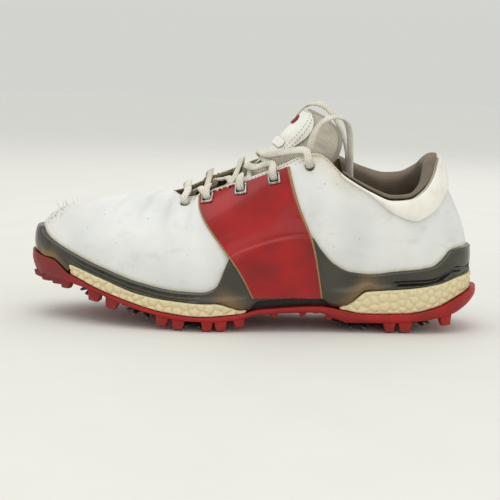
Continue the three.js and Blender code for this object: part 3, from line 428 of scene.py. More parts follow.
def packed_shift() -> Vector:
    """Where the drawing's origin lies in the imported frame, in millimetres, from a cleat's joint."""
    joint = next(j for j in frame["joints"] if j["name"].startswith("cleat_lateral_37"))
    station = 0.37
    spot = LAST.edge_at(-LAST.turn_of(station), Cleats.inset, LAST.outsole_bottom)
    return Vector(joint["pos_m"]) / MM - spot


# ------------------------------------------------------------------ mesh making
def lattice(columns: int, rows: int, place: Place, across: float = 1.0, up: float = 1.0) -> BMesh:
    """A grid laid on a surface, with a UV map in millimetres and its shares kept as attributes.

    Args:
        columns: faces along the first direction.
        rows: faces along the second.
        place: gives the point for two shares from 0 to 1.
        across: real size of the first direction.
        up: real size of the second.

    Returns:
        The mesh, with seams merged where the surface meets itself.
    """
    bm = bmesh.new()
    share_u = bm.verts.layers.float.new("u")
    share_v = bm.verts.layers.float.new("v")
    chart = bm.loops.layers.uv.new("UVMap")
    bmesh.ops.create_grid(bm, x_segments=columns, y_segments=rows, size=0.5)
    for vert in bm.verts:
        vert[share_u], vert[share_v] = vert.co.x + 0.5, vert.co.y + 0.5
    for face in bm.faces:
        for loop in face.loops:
            loop[chart].uv = (loop.vert[share_u] * across, loop.vert[share_v] * up)
    for vert in bm.verts:
        vert.co = place(clamp(vert[share_u], 0, 1), clamp(vert[share_v], 0, 1))
    bmesh.ops.remove_doubles(bm, verts=bm.verts, dist=1e-3)
    return bm


def seal(bm: BMesh) -> None:
    """Caps every open end of a tube and turns its faces outwards."""
    open_edges = [edge for edge in bm.edges if edge.is_boundary]
    if open_edges:
        bmesh.ops.holes_fill(bm, edges=open_edges, sides=0)
    face_out(bm)


def face_out(bm: BMesh, outward: Optional[Callable[[BMFace], Vector]] = None) -> None:
    """Turns all faces outwards: by volume on a closed mesh, or along a given direction on a sheet."""
    bmesh.ops.recalc_face_normals(bm, faces=bm.faces)
    if outward is None:
        return
    face = max(bm.faces, key=lambda f: f.calc_area())
    if face.normal.dot(outward(face)) < 0:
        bmesh.ops.reverse_faces(bm, faces=bm.faces)


def paint(bm: BMesh, name: str, amount: Callable[[BMVert], float]) -> None:
    """Stores a value for every vertex, for a finish to read by name."""
    layer = bm.verts.layers.float.get(name) or bm.verts.layers.float.new(name)
    for vert in bm.verts:
        vert[layer] = amount(vert)


def shares(bm: BMesh) -> tuple:
    """The layers that hold each vertex's place on its grid."""
    return bm.verts.layers.float["u"], bm.verts.layers.float["v"]


def add_mesh(bm: BMesh, other: BMesh, matrix: Matrix, slot: int = 0) -> None:
    """Adds a turned and moved copy of one mesh to another."""
    copy = other.copy()
    bmesh.ops.transform(copy, matrix=matrix, verts=copy.verts)
    for face in copy.faces:
        face.material_index = slot
    scratch = bpy.data.meshes.new("scratch")
    copy.to_mesh(scratch)
    copy.free()
    bm.from_mesh(scratch)
    bpy.data.meshes.remove(scratch)


def standing(place: Vector, up: Vector, ahead: Vector = Vector((1, 0, 0))) -> Matrix:
    """A matrix whose Z axis is up and whose X axis is as near as may be to ahead."""
    z = up.normalized()
    y = z.cross(ahead).normalized()
    x = y.cross(z)
    return Matrix.Translation(place) @ Matrix((x, y, z)).transposed().to_4x4()


def smooth_noise(p: Vector, size: float, seed: float = 0.0) -> float:
    """Soft noise from -1 to 1 with lumps of a size in millimetres."""
    return noise.noise(p / size + Vector((seed, seed * 1.7, -seed)))


class Piece:
    """One finished mesh object of the shoe."""

    shift = Vector((0, 0, 0))

    def __init__(self, name: str, bm: BMesh, finishes: Sequence[Finish], body: str = Body.SHOE.value,
                 smooth: bool = True) -> None:
        """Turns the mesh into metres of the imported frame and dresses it.

        Args:
            name: the piece's name.
            bm: its mesh in millimetres, which is used up.
            finishes: one for each material index.
            body: the body that it will ride on.
            smooth: whether its faces are shaded smooth.
        """
        for vert in bm.verts:
            vert.co = (vert.co + Piece.shift) * MM
        for face in bm.faces:
            face.smooth = smooth
        mesh = bpy.data.meshes.new(name)
        bm.to_mesh(mesh)
        bm.free()
        self.name, self.body = name, body
        self.object = bpy.data.objects.new(name, mesh)
        bpy.context.scene.collection.objects.link(self.object)
        for finish in finishes:
            mesh.materials.append(finish.material())

    def thicken(self, thickness: float, rim_slot: int = 0) -> Piece:
        """Gives a sheet a wall behind its outer face."""
        wall = self.object.modifiers.new("wall", "SOLIDIFY")
        wall.thickness, wall.offset = thickness * MM, -1
        wall.material_offset_rim = rim_slot
        return self

    def soften(self, levels: int = 1) -> Piece:
        """Rounds the mesh by subdivision."""
        smoother = self.object.modifiers.new("smoother", "SUBSURF")
        smoother.levels = smoother.render_levels = levels
        return self

    def round_edges(self, width: float, segments: int = 2, angle: float = 40) -> Piece:
        """Bevels the sharp edges."""
        edge = self.object.modifiers.new("edge", "BEVEL")
        edge.width, edge.segments = width * MM, segments
        edge.limit_method, edge.angle_limit = "ANGLE", radians(angle)
        edge.harden_normals = False
        return self

    def settle(self) -> Piece:
        """Makes the modifiers so far part of the mesh."""
        graph = bpy.context.evaluated_depsgraph_get()
        made = bpy.data.meshes.new_from_object(self.object.evaluated_get(graph))
        old, self.object.data = self.object.data, made
        self.object.modifiers.clear()
        bpy.data.meshes.remove(old)
        made.name = self.name
        return self

    def drill(self, tool: BMesh) -> Piece:
        """Cuts a closed tool, given in millimetres, out of the piece."""
        for vert in tool.verts:
            vert.co = (vert.co + Piece.shift) * MM
        mesh = bpy.data.meshes.new("tool")
        tool.to_mesh(mesh)
        tool.free()
        cutter = bpy.data.objects.new("tool", mesh)
        bpy.context.scene.collection.objects.link(cutter)
        hole = self.object.modifiers.new("hole", "BOOLEAN")
        hole.operation, hole.solver, hole.object = "DIFFERENCE", "EXACT", cutter
        self.settle()
        bpy.data.objects.remove(cutter)
        bpy.data.meshes.remove(mesh)
        return self

    def done(self, slot: str, *nodes: str) -> bpy.types.Object:
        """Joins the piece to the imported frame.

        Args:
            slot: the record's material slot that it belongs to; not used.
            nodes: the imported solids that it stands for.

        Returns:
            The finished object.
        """
        if nodes:
            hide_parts(*nodes)
        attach(self.object, self.body)
        log.info("%s: %d faces", self.name, len(self.object.data.polygons))
        return self.object


# ------------------------------------------------------------------ finishes
def linear(colour: str) -> tuple[float, float, float, float]:
    """An sRGB hex colour as linear light."""
    parts = [int(colour[i:i + 2], 16) / 255 for i in (0, 2, 4)]
    light = [c / 12.92 if c <= 0.04045 else ((c + 0.055) / 1.055) ** 2.4 for c in parts]
    return light[0], light[1], light[2], 1.0


def per(size_mm: float) -> float:
    """The texture scale that gives a pattern of this size on coordinates in metres."""
    return 1000 / size_mm


class Tree:
    """A material's node tree while it is being made."""

    def __init__(self, name: str) -> None:
        """Starts a material with its shader and output."""
        self.material = bpy.data.materials.new(name)
        self.material.use_nodes = True
        self.tree = self.material.node_tree
        self.tree.nodes.clear()
        self.shader = self.add("ShaderNodeBsdfPrincipled")
        self.add("ShaderNodeOutputMaterial", {}, {"Surface": self.shader.outputs[0]})
        self.place = self.add("ShaderNodeTexCoord").outputs["Object"]
        self.chart = self.add("ShaderNodeUVMap", {"uv_map": "UVMap"}).outputs[0]

    def add(self, kind: str, settings: Optional[dict] = None, links: Optional[dict] = None) -> bpy.types.Node:
        """Adds a node.

        Args:
            kind: the node's type.
            settings: its properties, or default values of its inputs by name or number.
            links: sources for its inputs by name or number.

        Returns:
            The node.
        """
        node = self.tree.nodes.new(kind)
        for key, value in (settings or {}).items():
            if isinstance(key, str) and hasattr(node, key):
                setattr(node, key, value)
            else:
                node.inputs[key].default_value = value
        for key, source in (links or {}).items():
            self.tree.links.new(source, node.inputs[key])
        return node

    def grain(self, size_mm: float, detail: float = 3.0, rough: float = 0.5,
              stretch: tuple = (1, 1, 1)) -> NodeSocket:
        """Soft noise of a real size on the piece."""
        where = self.place
        if stretch != (1, 1, 1):
            where = self.add("ShaderNodeMapping", {"Scale": stretch}, {"Vector": where}).outputs[0]
        return self.add("ShaderNodeTexNoise", {"Scale": per(size_mm), "Detail": detail, "Roughness": rough},
                        {"Vector": where}).outputs[0]

    def ramp(self, source: NodeSocket, low: float, high: float, bottom: float = 0.0,
             top: float = 1.0) -> NodeSocket:
        """A value stretched from one range to another and held at its ends."""
        settings = {"From Min": low, "From Max": high, "To Min": bottom, "To Max": top}
        return self.add("ShaderNodeMapRange", settings, {"Value": source}).outputs[0]

    def painted(self, name: str) -> NodeSocket:
        """A value stored on the mesh."""
        return self.add("ShaderNodeAttribute", {"attribute_name": name}).outputs["Fac"]

    def maths(self, operation: str, a: object, b: object = 0.0) -> NodeSocket:
        """One step of arithmetic between numbers or sockets."""
        values = {i: v for i, v in enumerate((a, b)) if not isinstance(v, NodeSocket)}
        wires = {i: v for i, v in enumerate((a, b)) if isinstance(v, NodeSocket)}
        return self.add("ShaderNodeMath", {"operation": operation, **values}, wires).outputs[0]

    def blend(self, amount: object, a: object, b: object) -> NodeSocket:
        """A colour between two colours, each a hex string or a socket."""
        settings: dict = {"data_type": "RGBA"}
        wires: dict = {}
        for key, value in ((0, amount), (6, a), (7, b)):
            if isinstance(value, NodeSocket):
                wires[key] = value
            else:
                settings[key] = linear(value) if isinstance(value, str) else value
        return self.add("ShaderNodeMix", settings, wires).outputs[2]

    def bump(self, height: NodeSocket, depth_mm: float, strength: float = 1.0,
             under: Optional[NodeSocket] = None) -> NodeSocket:
        """A normal roughened by a height, on top of another one if it is given."""
        wires = {"Height": height}
        if under is not None:
            wires["Normal"] = under
        return self.add("ShaderNodeBump", {"Distance": depth_mm * MM, "Strength": strength}, wires).outputs[0]

    def threads(self, angles: tuple[float, float], thread: float, wave: dict) -> NodeSocket:
        """The height of two bands of threads on the piece's own chart in millimetres.

        Args:
            angles: how each band is turned, in degrees.
            thread: width of a thread.
            wave: further settings of the wave.

        Returns:
            The higher of the bands.
        """
        bands = []
        for angle in angles:
            turn = {"Rotation": (0, 0, radians(angle))}
            where = self.add("ShaderNodeMapping", turn, {"Vector": self.chart}).outputs[0]
            settings = {"Scale": WAVE_PITCH / thread, **wave}
            bands.append(self.add("ShaderNodeTexWave", settings, {"Vector": where}).outputs[1])
        return self.maths("MAXIMUM", *bands)

    def finish(self, colour: object, roughness: object, normal: Optional[NodeSocket] = None,
               **plain: float) -> Material:
        """Joins colour, roughness and normal to the shader and sets its plain numbers."""
        for name, value in (("Base Color", colour), ("Roughness", roughness), ("Normal", normal)):
            if isinstance(value, NodeSocket):
                self.tree.links.new(value, self.shader.inputs[name])
            elif value is not None:
                self.shader.inputs[name].default_value = linear(value) if isinstance(value, str) else value
        for name, value in plain.items():
            self.shader.inputs[name.replace("_", " ")].default_value = value
        return self.material


@dataclass(frozen=True)
class Finish:
    """A finish of the shoe; each kind makes its material once."""

    name: str

    def material(self) -> Material:
        """The finish's material, made the first time it is asked for."""
        return bpy.data.materials.get(self.name) or self.dress(Tree(self.name))

    def dress(self, t: Tree) -> Material:
        """Fills a new material; every kind of finish has its own."""
        raise NotImplementedError


@dataclass(frozen=True)
class CoatedMicrofibre(Finish):
    """Polyurethane-coated microfibre: a satin, almost smooth white skin with a fine pebble, which
    yellows at its edges, greys where it is scuffed and shows faint flex lines darkened by painted shade."""

    white: str = "ebebe7"
    cool: str = "d8dad8"
    aged: str = "cbbd95"
    scuffed: str = "85826f"
    pebble: float = 0.9

    def dress(self, t: Tree) -> Material:
        """White coat, yellowed edges, dirt specks, scuffs, painted shade in the creases and a pebbled bump."""
        cloud = t.ramp(t.grain(38, 2), 0.35, 0.7)
        colour = t.blend(cloud, self.white, self.cool)
        stain = t.maths("MULTIPLY", t.painted("aged"), t.ramp(t.grain(5, 4, 0.65), 0.3, 0.7, 0.35, 1.0))
        colour = t.blend(stain, colour, self.aged)
        scratches = t.ramp(t.grain(1.1, 4, 0.7, (1, 0.4, 0.35)), 0.5, 0.62)
        worn = t.maths("MULTIPLY", t.painted("scuff"), scratches)
        colour = t.blend(worn, colour, self.scuffed)
        speck = t.ramp(t.grain(2.6, 2, 0.5), 0.715, 0.77, 0.0, 0.65)
        colour = t.blend(speck, colour, self.scuffed)
        smear = t.ramp(t.grain(17, 5, 0.68, (1, 1, 1.8)), 0.56, 0.76, 0.0, 0.3)
        colour = t.blend(smear, colour, "b3b0a2")
        # painted shade: grey darkening along the flex creases
        colour = t.blend(t.painted("crease"), colour, "a9a593")
        fine = t.add("ShaderNodeTexVoronoi", {"Scale": per(self.pebble), "feature": "SMOOTH_F1"},
                     {"Vector": t.place}).outputs[0]
        normal = t.bump(t.grain(9, 3), 0.12, 0.5)
        normal = t.bump(fine, 0.05, 0.25, normal)
        normal = t.bump(worn, 0.15, 0.6, normal)
        rough = t.maths("ADD", t.ramp(t.grain(14, 3), 0.3, 0.7, 0.38, 0.5), t.maths("MULTIPLY", worn, 0.3))
        return t.finish(colour, rough, normal, Subsurface_Weight=0.0, Specular_IOR_Level=0.45)


@dataclass(frozen=True)
class SoftLeather(Finish):
    """Soft, softly creased leather on padding: warm off-white, matter than the coated skin."""

    colour: str = "f6f3ea"
    shade: str = "e4ddcb"
    wrinkle: float = 3.2

    def dress(self, t: Tree) -> Material:
        """Warm white with soiled hollows and small creases."""
        soil = t.ramp(t.grain(11, 5, 0.6), 0.45, 0.75, 0.0, 0.7)
        colour = t.blend(soil, self.colour, self.shade)
        colour = t.blend(t.maths("MULTIPLY", t.painted("aged"), 0.8), colour, "b5a88c")
        creases = t.add("ShaderNodeTexVoronoi", {"Scale": per(self.wrinkle), "feature": "DISTANCE_TO_EDGE"},
                        {"Vector": t.place}).outputs[0]
        normal = t.bump(t.ramp(creases, 0.0, 0.12), 0.12, 0.35)
        normal = t.bump(t.grain(0.8, 3), 0.06, 0.4, normal)
        return t.finish(colour, t.ramp(t.grain(8), 0.3, 0.7, 0.5, 0.64), normal, Specular_IOR_Level=0.4)


@dataclass(frozen=True)
class PatentCoat(Finish):
    """Patent leather: a smooth red coat with a wet shine, fine scratches and faint orange peel."""

    bright: str = "a80f10"
    deep: str = "860c0e"

    def dress(self, t: Tree) -> Material:
        """Red under a clear, lightly scratched coat."""
        colour = t.blend(t.ramp(t.grain(26, 2), 0.35, 0.7), self.bright, self.deep)
        hair = t.grain(1.6, 5, 0.7, (0.25, 1, 1.6))
        rough = t.ramp(hair, 0.55, 0.72, 0.2, 0.36)
        normal = t.bump(t.grain(7, 2), 0.1, 0.4)
        return t.finish(colour, rough, normal, Coat_Weight=0.2, Coat_Roughness=0.08, Specular_IOR_Level=0.3)


@dataclass(frozen=True)
class RawEdge(Finish):
    """The cut edge of coated leather: bare tan fibre, dry and matt."""

    colour: str = "b08d62"
    dark: str = "846240"

    def dress(self, t: Tree) -> Material:
        """Tan fibre with short streaks."""
        fibre = t.grain(0.7, 4, 0.7)
        colour = t.blend(t.ramp(fibre, 0.35, 0.65), self.dark, self.colour)
        return t.finish(colour, 0.85, t.bump(fibre, 0.1, 0.6))


@dataclass(frozen=True)
class MouldedPolyurethane(Finish):
    """Injection-moulded thermoplastic polyurethane: smoky olive and slightly see-through, so thin
    places look tan, with a wet gloss, dust in its corners and painted shade in its heel slot."""

    smoke: str = "28271c"
    light: str = "393626"
    thin: str = "80633a"

    def dress(self, t: Tree) -> Material:
        """Olive body, tan where thin, dusty in its grooves, and painted shade making the heel slot near black.
        """
        colour = t.blend(t.ramp(t.grain(30, 3), 0.35, 0.68), self.smoke, self.light)
        colour = t.blend(t.painted("thin"), colour, self.thin)
        dust = t.maths("MULTIPLY", t.painted("groove"), t.ramp(t.grain(4, 4), 0.35, 0.65, 0.1, 0.55))
        colour = t.blend(dust, colour, "6f664c")
        # painted shade: the heel slot is darkened to near black
        colour = t.blend(t.painted("slot_shade"), colour, "0b0b08")
        rough = t.ramp(t.grain(6, 4, 0.6), 0.3, 0.75, 0.16, 0.34)
        normal = t.bump(t.grain(3.5, 3), 0.08, 0.35)
        return t.finish(colour, rough, normal, IOR=1.5, Coat_Weight=0.3, Coat_Roughness=0.1)


@dataclass(frozen=True)
class BeadFoam(Finish):
    """Steam-fused foam beads: matt cream skin, yellowed with age, with the seams between beads darkened partly
    by dirt and partly by painted shade.
    """

    cream: str = "fbf3dc"
    yellow: str = "f3e5bf"
    dirt: str = "7d6c4a"

    def dress(self, t: Tree) -> Material:
        """Cream beads, seams darkened by painted shade and patchy dirt, patches of dirt and tiny pits."""
        colour = t.blend(t.ramp(t.grain(9, 3), 0.35, 0.7), self.cream, self.yellow)
        # the seams between beads: always somewhat darker as painted shade, and darker still where the noise
        # adds dirt
        seam = t.ramp(t.painted("bead"), 0.0, 0.3, 1.0, 0.0)
        seam_dirt_and_shade = t.maths("MULTIPLY", seam, t.ramp(t.grain(12, 4, 0.6), 0.3, 0.65, 0.3, 0.95))
        colour = t.blend(seam_dirt_and_shade, colour, self.dirt)
        patch = t.ramp(t.grain(3.2, 5, 0.7), 0.58, 0.78, 0.0, 0.55)
        colour = t.blend(patch, colour, self.dirt)
        normal = t.bump(t.grain(0.7, 4, 0.7), 0.12, 0.5)
        return t.finish(colour, t.ramp(t.grain(4), 0.3, 0.7, 0.55, 0.8), normal, Specular_IOR_Level=0.35)


@dataclass(frozen=True)
class MouldedRubber(Finish):
    """Hot-moulded tread rubber: strong red with a satin mould skin, dusty and dulled where it
    meets the ground and dark at the toe where it is worn."""

    red: str = "b01614"
    deep: str = "84110f"
    dust: str = "7d5245"

    def dress(self, t: Tree) -> Material:
        """Red rubber with worn, dusty faces."""
        colour = t.blend(t.ramp(t.grain(22, 3), 0.35, 0.68), self.red, self.deep)
        colour = t.blend(t.maths("MULTIPLY", t.painted("worn"), 0.75), colour, "6d2423")
        soil = t.maths("MULTIPLY", t.painted("soil"), t.ramp(t.grain(3, 5, 0.65), 0.4, 0.7, 0.0, 0.7))
        colour = t.blend(soil, colour, self.dust)
        normal = t.bump(t.grain(1.0, 4, 0.6), 0.06, 0.4)
        return t.finish(colour, t.ramp(t.grain(5, 3), 0.3, 0.7, 0.36, 0.56), normal, Specular_IOR_Level=0.4)


class Weave(Enum):
    """How a textile is made: the angles of its two bands of threads."""

    PLAIN = (0, 90)
    TWILL = (38, 38)


@dataclass(frozen=True)
class Textile(Finish):
    """Woven or knitted polyester: matt, with threads that show as relief and soft sheen. The
    threads are drawn about twice as coarse as real ones, or they would not show."""

    colour: str = "80766a"
    shade: str = "5d5448"
    weave: Weave = Weave.PLAIN
    thread: float = 1.0
    soil: float = 0.4

    def dress(self, t: Tree) -> Material:
        """Threads, soiled patches and a little sheen."""
        height = t.threads(self.weave.value, self.thread, {"Distortion": 0.6, "Detail Scale": 2.0})
        colour = t.blend(t.ramp(height, 0.1, 0.8), self.shade, self.colour)
        dirt = t.ramp(t.grain(14, 4, 0.6), 0.45, 0.75, 0.0, self.soil)
        colour = t.blend(dirt, colour, self.shade)
        normal = t.bump(height, 0.35, 0.7)
        return t.finish(colour, 0.9, normal, Sheen_Weight=0.15, Specular_IOR_Level=0.2)


@dataclass(frozen=True)
class FlatLace(Finish):
    """Tubular woven cotton lace pressed flat: two rows of slanting threads like a plait, greyed
    by handling."""

    cotton: str = "f0ebdd"
    shade: str = "b8af99"
    pick: float = 1.3

    def dress(self, t: Tree) -> Material:
        """Slanting threads on the lace's own chart, with grey soil."""
        height = t.threads((50, -50), self.pick, {"Distortion": 0.3})
        colour = t.blend(t.ramp(height, 0.15, 0.75), self.shade, self.cotton)
        colour = t.blend(t.ramp(t.grain(16, 4, 0.6), 0.42, 0.75, 0.0, 0.55), colour, "9a907c")
        return t.finish(colour, 0.88, t.bump(height, 0.3, 0.8), Sheen_Weight=0.2, Specular_IOR_Level=0.2)


@dataclass(frozen=True)
class StampedSteel(Finish):
    """Nickel-plated stamped steel: pale grey metal, rubbed bright on its edges, dull in corners."""

    colour: str = "c4c3bd"
    tarnish: str = "77746b"

    def dress(self, t: Tree) -> Material:
        """Plate with rubbed and tarnished places."""
        colour = t.blend(t.ramp(t.grain(2.2, 4, 0.6), 0.4, 0.7), self.colour, self.tarnish)
        rough = t.ramp(t.grain(1.1, 4), 0.3, 0.7, 0.22, 0.45)
        return t.finish(colour, rough, t.bump(t.grain(0.6, 3), 0.03, 0.4), Metallic=1.0)


@dataclass(frozen=True)
class MouldedPlastic(Finish):
    """Moulded nylon or TPU part: satin black, greyed to bare plastic where the turf wears it."""

    colour: str = "1c1c1d"
    worn: str = "8a8880"

    def dress(self, t: Tree) -> Material:
        """Dark plastic with worn tips."""
        rub = t.maths("MULTIPLY", t.painted("worn"), t.ramp(t.grain(1.5, 4, 0.7), 0.3, 0.6, 0.35, 1.0))
        colour = t.blend(rub, t.blend(t.ramp(t.grain(5, 3), 0.4, 0.7), self.colour, "2c2b29"), self.worn)
        rough = t.ramp(t.grain(3, 4), 0.3, 0.7, 0.3, 0.55)
        return t.finish(colour, rough, t.bump(t.grain(0.8, 4), 0.05, 0.5))


@dataclass(frozen=True)
class Fibreboard(Finish):
    """Pressed fibre: flat, dry and speckled."""

    colour: str = "cbb68a"
    fleck: str = "9b875c"

    def dress(self, t: Tree) -> Material:
        """Speckled board."""
        fleck = t.grain(1.2, 4, 0.7)
        colour = t.blend(t.ramp(fleck, 0.4, 0.7), self.colour, self.fleck)
        return t.finish(colour, 0.9, t.bump(fleck, 0.1, 0.5))


@dataclass(frozen=True)
class StudioFloor(Finish):
    """A matt painted floor sweep: pale, with painted shade making it a little darker within a quarter metre of
    the middle, where the shoe stands, and lighter from there out.
    """

    near: str = "e3e2db"
    bright: str = "e7e6e0"
    far: str = "e7e8e3"

    def dress(self, t: Tree) -> Material:
        """Pale paint with painted shade: darker near the middle and lighter with the distance from it."""
        reach = t.add("ShaderNodeVectorMath", {"operation": "LENGTH"}, {0: t.place}).outputs[1]
        # painted shade round the shoe: darker near the middle, lighter further out
        colour = t.blend(t.ramp(reach, 0.25, 0.6), self.near, self.bright)
        colour = t.blend(t.ramp(reach, 0.8, 5.0), colour, self.far)
        mottle = t.ramp(t.grain(60, 4), 0.3, 0.7, 0.0, 0.06)
        return t.finish(t.blend(mottle, colour, "b9b7ad"), 0.85, t.bump(t.grain(2, 3), 0.05, 0.3),
                        Specular_IOR_Level=0.1)


WHITE_SKIN = CoatedMicrofibre("white_coated_microfibre")
PAD_LEATHER = SoftLeather("offwhite_soft_leather")
TONGUE_LEATHER = SoftLeather("white_tongue_leather", "efeee6", "dcd8c8", 4.0)
RED_PATENT = PatentCoat("red_patent_leather")
TAN_EDGE = RawEdge("raw_leather_edge")
SKIN_EDGE = RawEdge("raw_microfibre_edge", "9c8d6c", "6e6248")
FRAME_TPU = MouldedPolyurethane("smoked_polyurethane")
FOAM = BeadFoam("bead_foam")
RED_RUBBER = MouldedRubber("red_tread_rubber")
LINING_KNIT = Textile("taupe_lining_knit", "6a5d4c", "352c20", Weave.PLAIN, 1.0, 0.5)
THROAT_LINING = Textile("khaki_throat_lining", "6f6347", "3e3626", Weave.TWILL, 1.2, 0.5)
ROLL_KNIT = Textile("taupe_collar_knit", "8a7c6a", "4f4436", Weave.PLAIN, 0.9, 0.4)
TONGUE_MESH = Textile("beige_tongue_mesh", "e9e3d4", "b0a794", Weave.TWILL, 1.5, 0.35)
BINDING = Textile("tongue_binding", "bdb4a2", "857b6a", Weave.PLAIN, 0.9, 0.4)
SOCK = Textile("sock_textile", "5c5751", "34302b", Weave.PLAIN, 1.2, 0.4)
LABEL = Textile("red_woven_label", "b0201d", "6c1312", Weave.PLAIN, 0.7, 0.2)
THREAD = Textile("sewing_thread", "d9d4c6", "a39b88", Weave.TWILL, 0.5, 0.3)
COTTON = FlatLace("flat_cotton_lace")
STEEL = StampedSteel("nickel_plated_steel")
CLEAT_PLASTIC = MouldedPlastic("black_cleat_plastic")
POCKET_PLASTIC = MouldedPlastic("pocket_nylon", "2b2b2d", "55534f")
SHANK_PLASTIC = MouldedPlastic("black_shank_nylon", "17171a", "3a3a3c")
TIP_FILM = MouldedPlastic("aglet_film", "d8d2c0", "a49c88")
PUFF_BOARD = Fibreboard("stiffener_board")
INSOLE_BOARD = Fibreboard("insole_fibreboard", "4a4540", "2d2925")
FLOOR_PAINT = StudioFloor("floor_paint")


# ------------------------------------------------------------------ lace holes and small fittings
@dataclass
class EyeletRow:
    """Where the lace holes are and how they are made."""

    turns: tuple[float, ...] = (0.385, 0.428, 0.482, 0.532, 0.583)
    below_edge: float = 9.0
    punched: float = 5.8
    outer: float = 8.6
    inner: float = 5.6
    flange: float = 1.1
    barrel: float = 6.4
    reach: float = 4.0
    panel: float = 1.3
    drill_length: float = 24.0

    def spot(self, turn: float) -> tuple[Vector, Vector, Vector]:
        """A hole's place, its outward normal and the direction up to the throat edge."""
        edge = LAST.top(turn)
        v = 1.0
        while (LAST.upper(turn, v) - edge).length < self.below_edge:
            v -= 0.005
        up = (LAST.upper(turn, v + LAST.probe) - LAST.upper(turn, v)).normalized()
        return LAST.upper(turn, v), LAST.normal(turn, v), up

    def is_punched(self, k: int) -> bool:
        """Whether a pair has no metal: the lowest and the highest."""
        return k in (0, len(self.turns) - 1)

    @property
    def seat(self) -> float:
        """Height of the square eyelets' seat over the skin."""
        return self.panel + 3 * LAST.gap

    def drill(self, clearance: float) -> BMesh:
        """The closed tools that cut all the lace holes, with a clearance all round each."""
        tool = bmesh.new()
        for side in Side:
            for k, turn in enumerate(self.turns):
                place, normal, up = self.spot(side.value * turn)
                one = bmesh.new()
                if self.is_punched(k):
                    radius = self.punched / 2 + clearance
                    bmesh.ops.create_cone(one, cap_ends=True, segments=28, radius1=radius, radius2=radius,
                                          depth=self.drill_length)
                else:
                    bmesh.ops.create_cube(one, size=1)
                    size = self.barrel + 2 * clearance
                    bmesh.ops.scale(one, vec=(size, size, self.drill_length), verts=one.verts)
                add_mesh(tool, one, standing(place, normal, up))
                one.free()
        return tool

    def ring(self) -> BMesh:
        """One square eyelet lying on the XY plane: a rounded flange and a square barrel."""
        seat, top, foot = self.seat, self.seat + self.flange, self.seat - self.reach
        outer, inner, barrel = self.outer / 2, self.inner / 2, self.barrel / 2
        section = [(outer, seat + 0.05), (outer + 0.05, seat + 0.5), (outer - 0.35, top),
                   (inner + 0.5, top + 0.1), (inner + 0.05, top - 0.35), (inner, top - 1.2), (inner, foot),
                   (barrel, foot), (barrel, seat + 0.05)]

        def place(u: float, v: float) -> Vector:
            """A point of the ring: round the square, then round its section."""
            angle = 2 * pi * u
            half, height = section[round(v * len(section)) % len(section)]
            square = 1 / (abs(cos(angle)) ** 7 + abs(sin(angle)) ** 7) ** (1 / 7)
            return turned(half * square, height, u)

        bm = lattice(64, len(section), place)
        face_out(bm)
        return bm

    def build(self) -> None:
        """Makes the six square eyelets."""
        ring = self.ring()
        for side in Side:
            for k, turn in enumerate(self.turns):
                if self.is_punched(k):
                    continue
                place, normal, up = self.spot(side.value * turn)
                name = f"eyelet_{side.name.lower()}_{k + 1}"
                bm = bmesh.new()
                add_mesh(bm, ring, standing(place, normal, up))
                Piece(f"{name}_ring", bm, [STEEL]).round_edges(0.12).done("eyelet_steel", name)
        ring.free()


EYELETS = EyeletRow()


@dataclass
class Stitching:
    """A row of lockstitches: each a short thread sunk at both ends."""

    pitch: float = 2.6
    stitch: float = 1.9
    thread: float = 0.55

    def row(self, bm: BMesh, line: Sequence[tuple[Vector, Vector]]) -> None:
        """Adds stitches along a line.

        Args:
            bm: the mesh that takes them.
            line: points with their surface normals, close together.
        """
        one = bmesh.new()
        bmesh.ops.create_uvsphere(one, u_segments=6, v_segments=4, radius=0.5)
        bmesh.ops.scale(one, vec=(self.stitch, self.thread, self.thread), verts=one.verts)
        passed = self.pitch / 2
        for (a, normal), (b, _) in zip(line, line[1:]):
            run = (b - a).length
            while passed < run:
                spot = a.lerp(b, passed / run)
                add_mesh(bm, one, standing(spot + normal * 0.1, normal, b - a))
                passed += self.pitch
            passed -= run
        one.free()


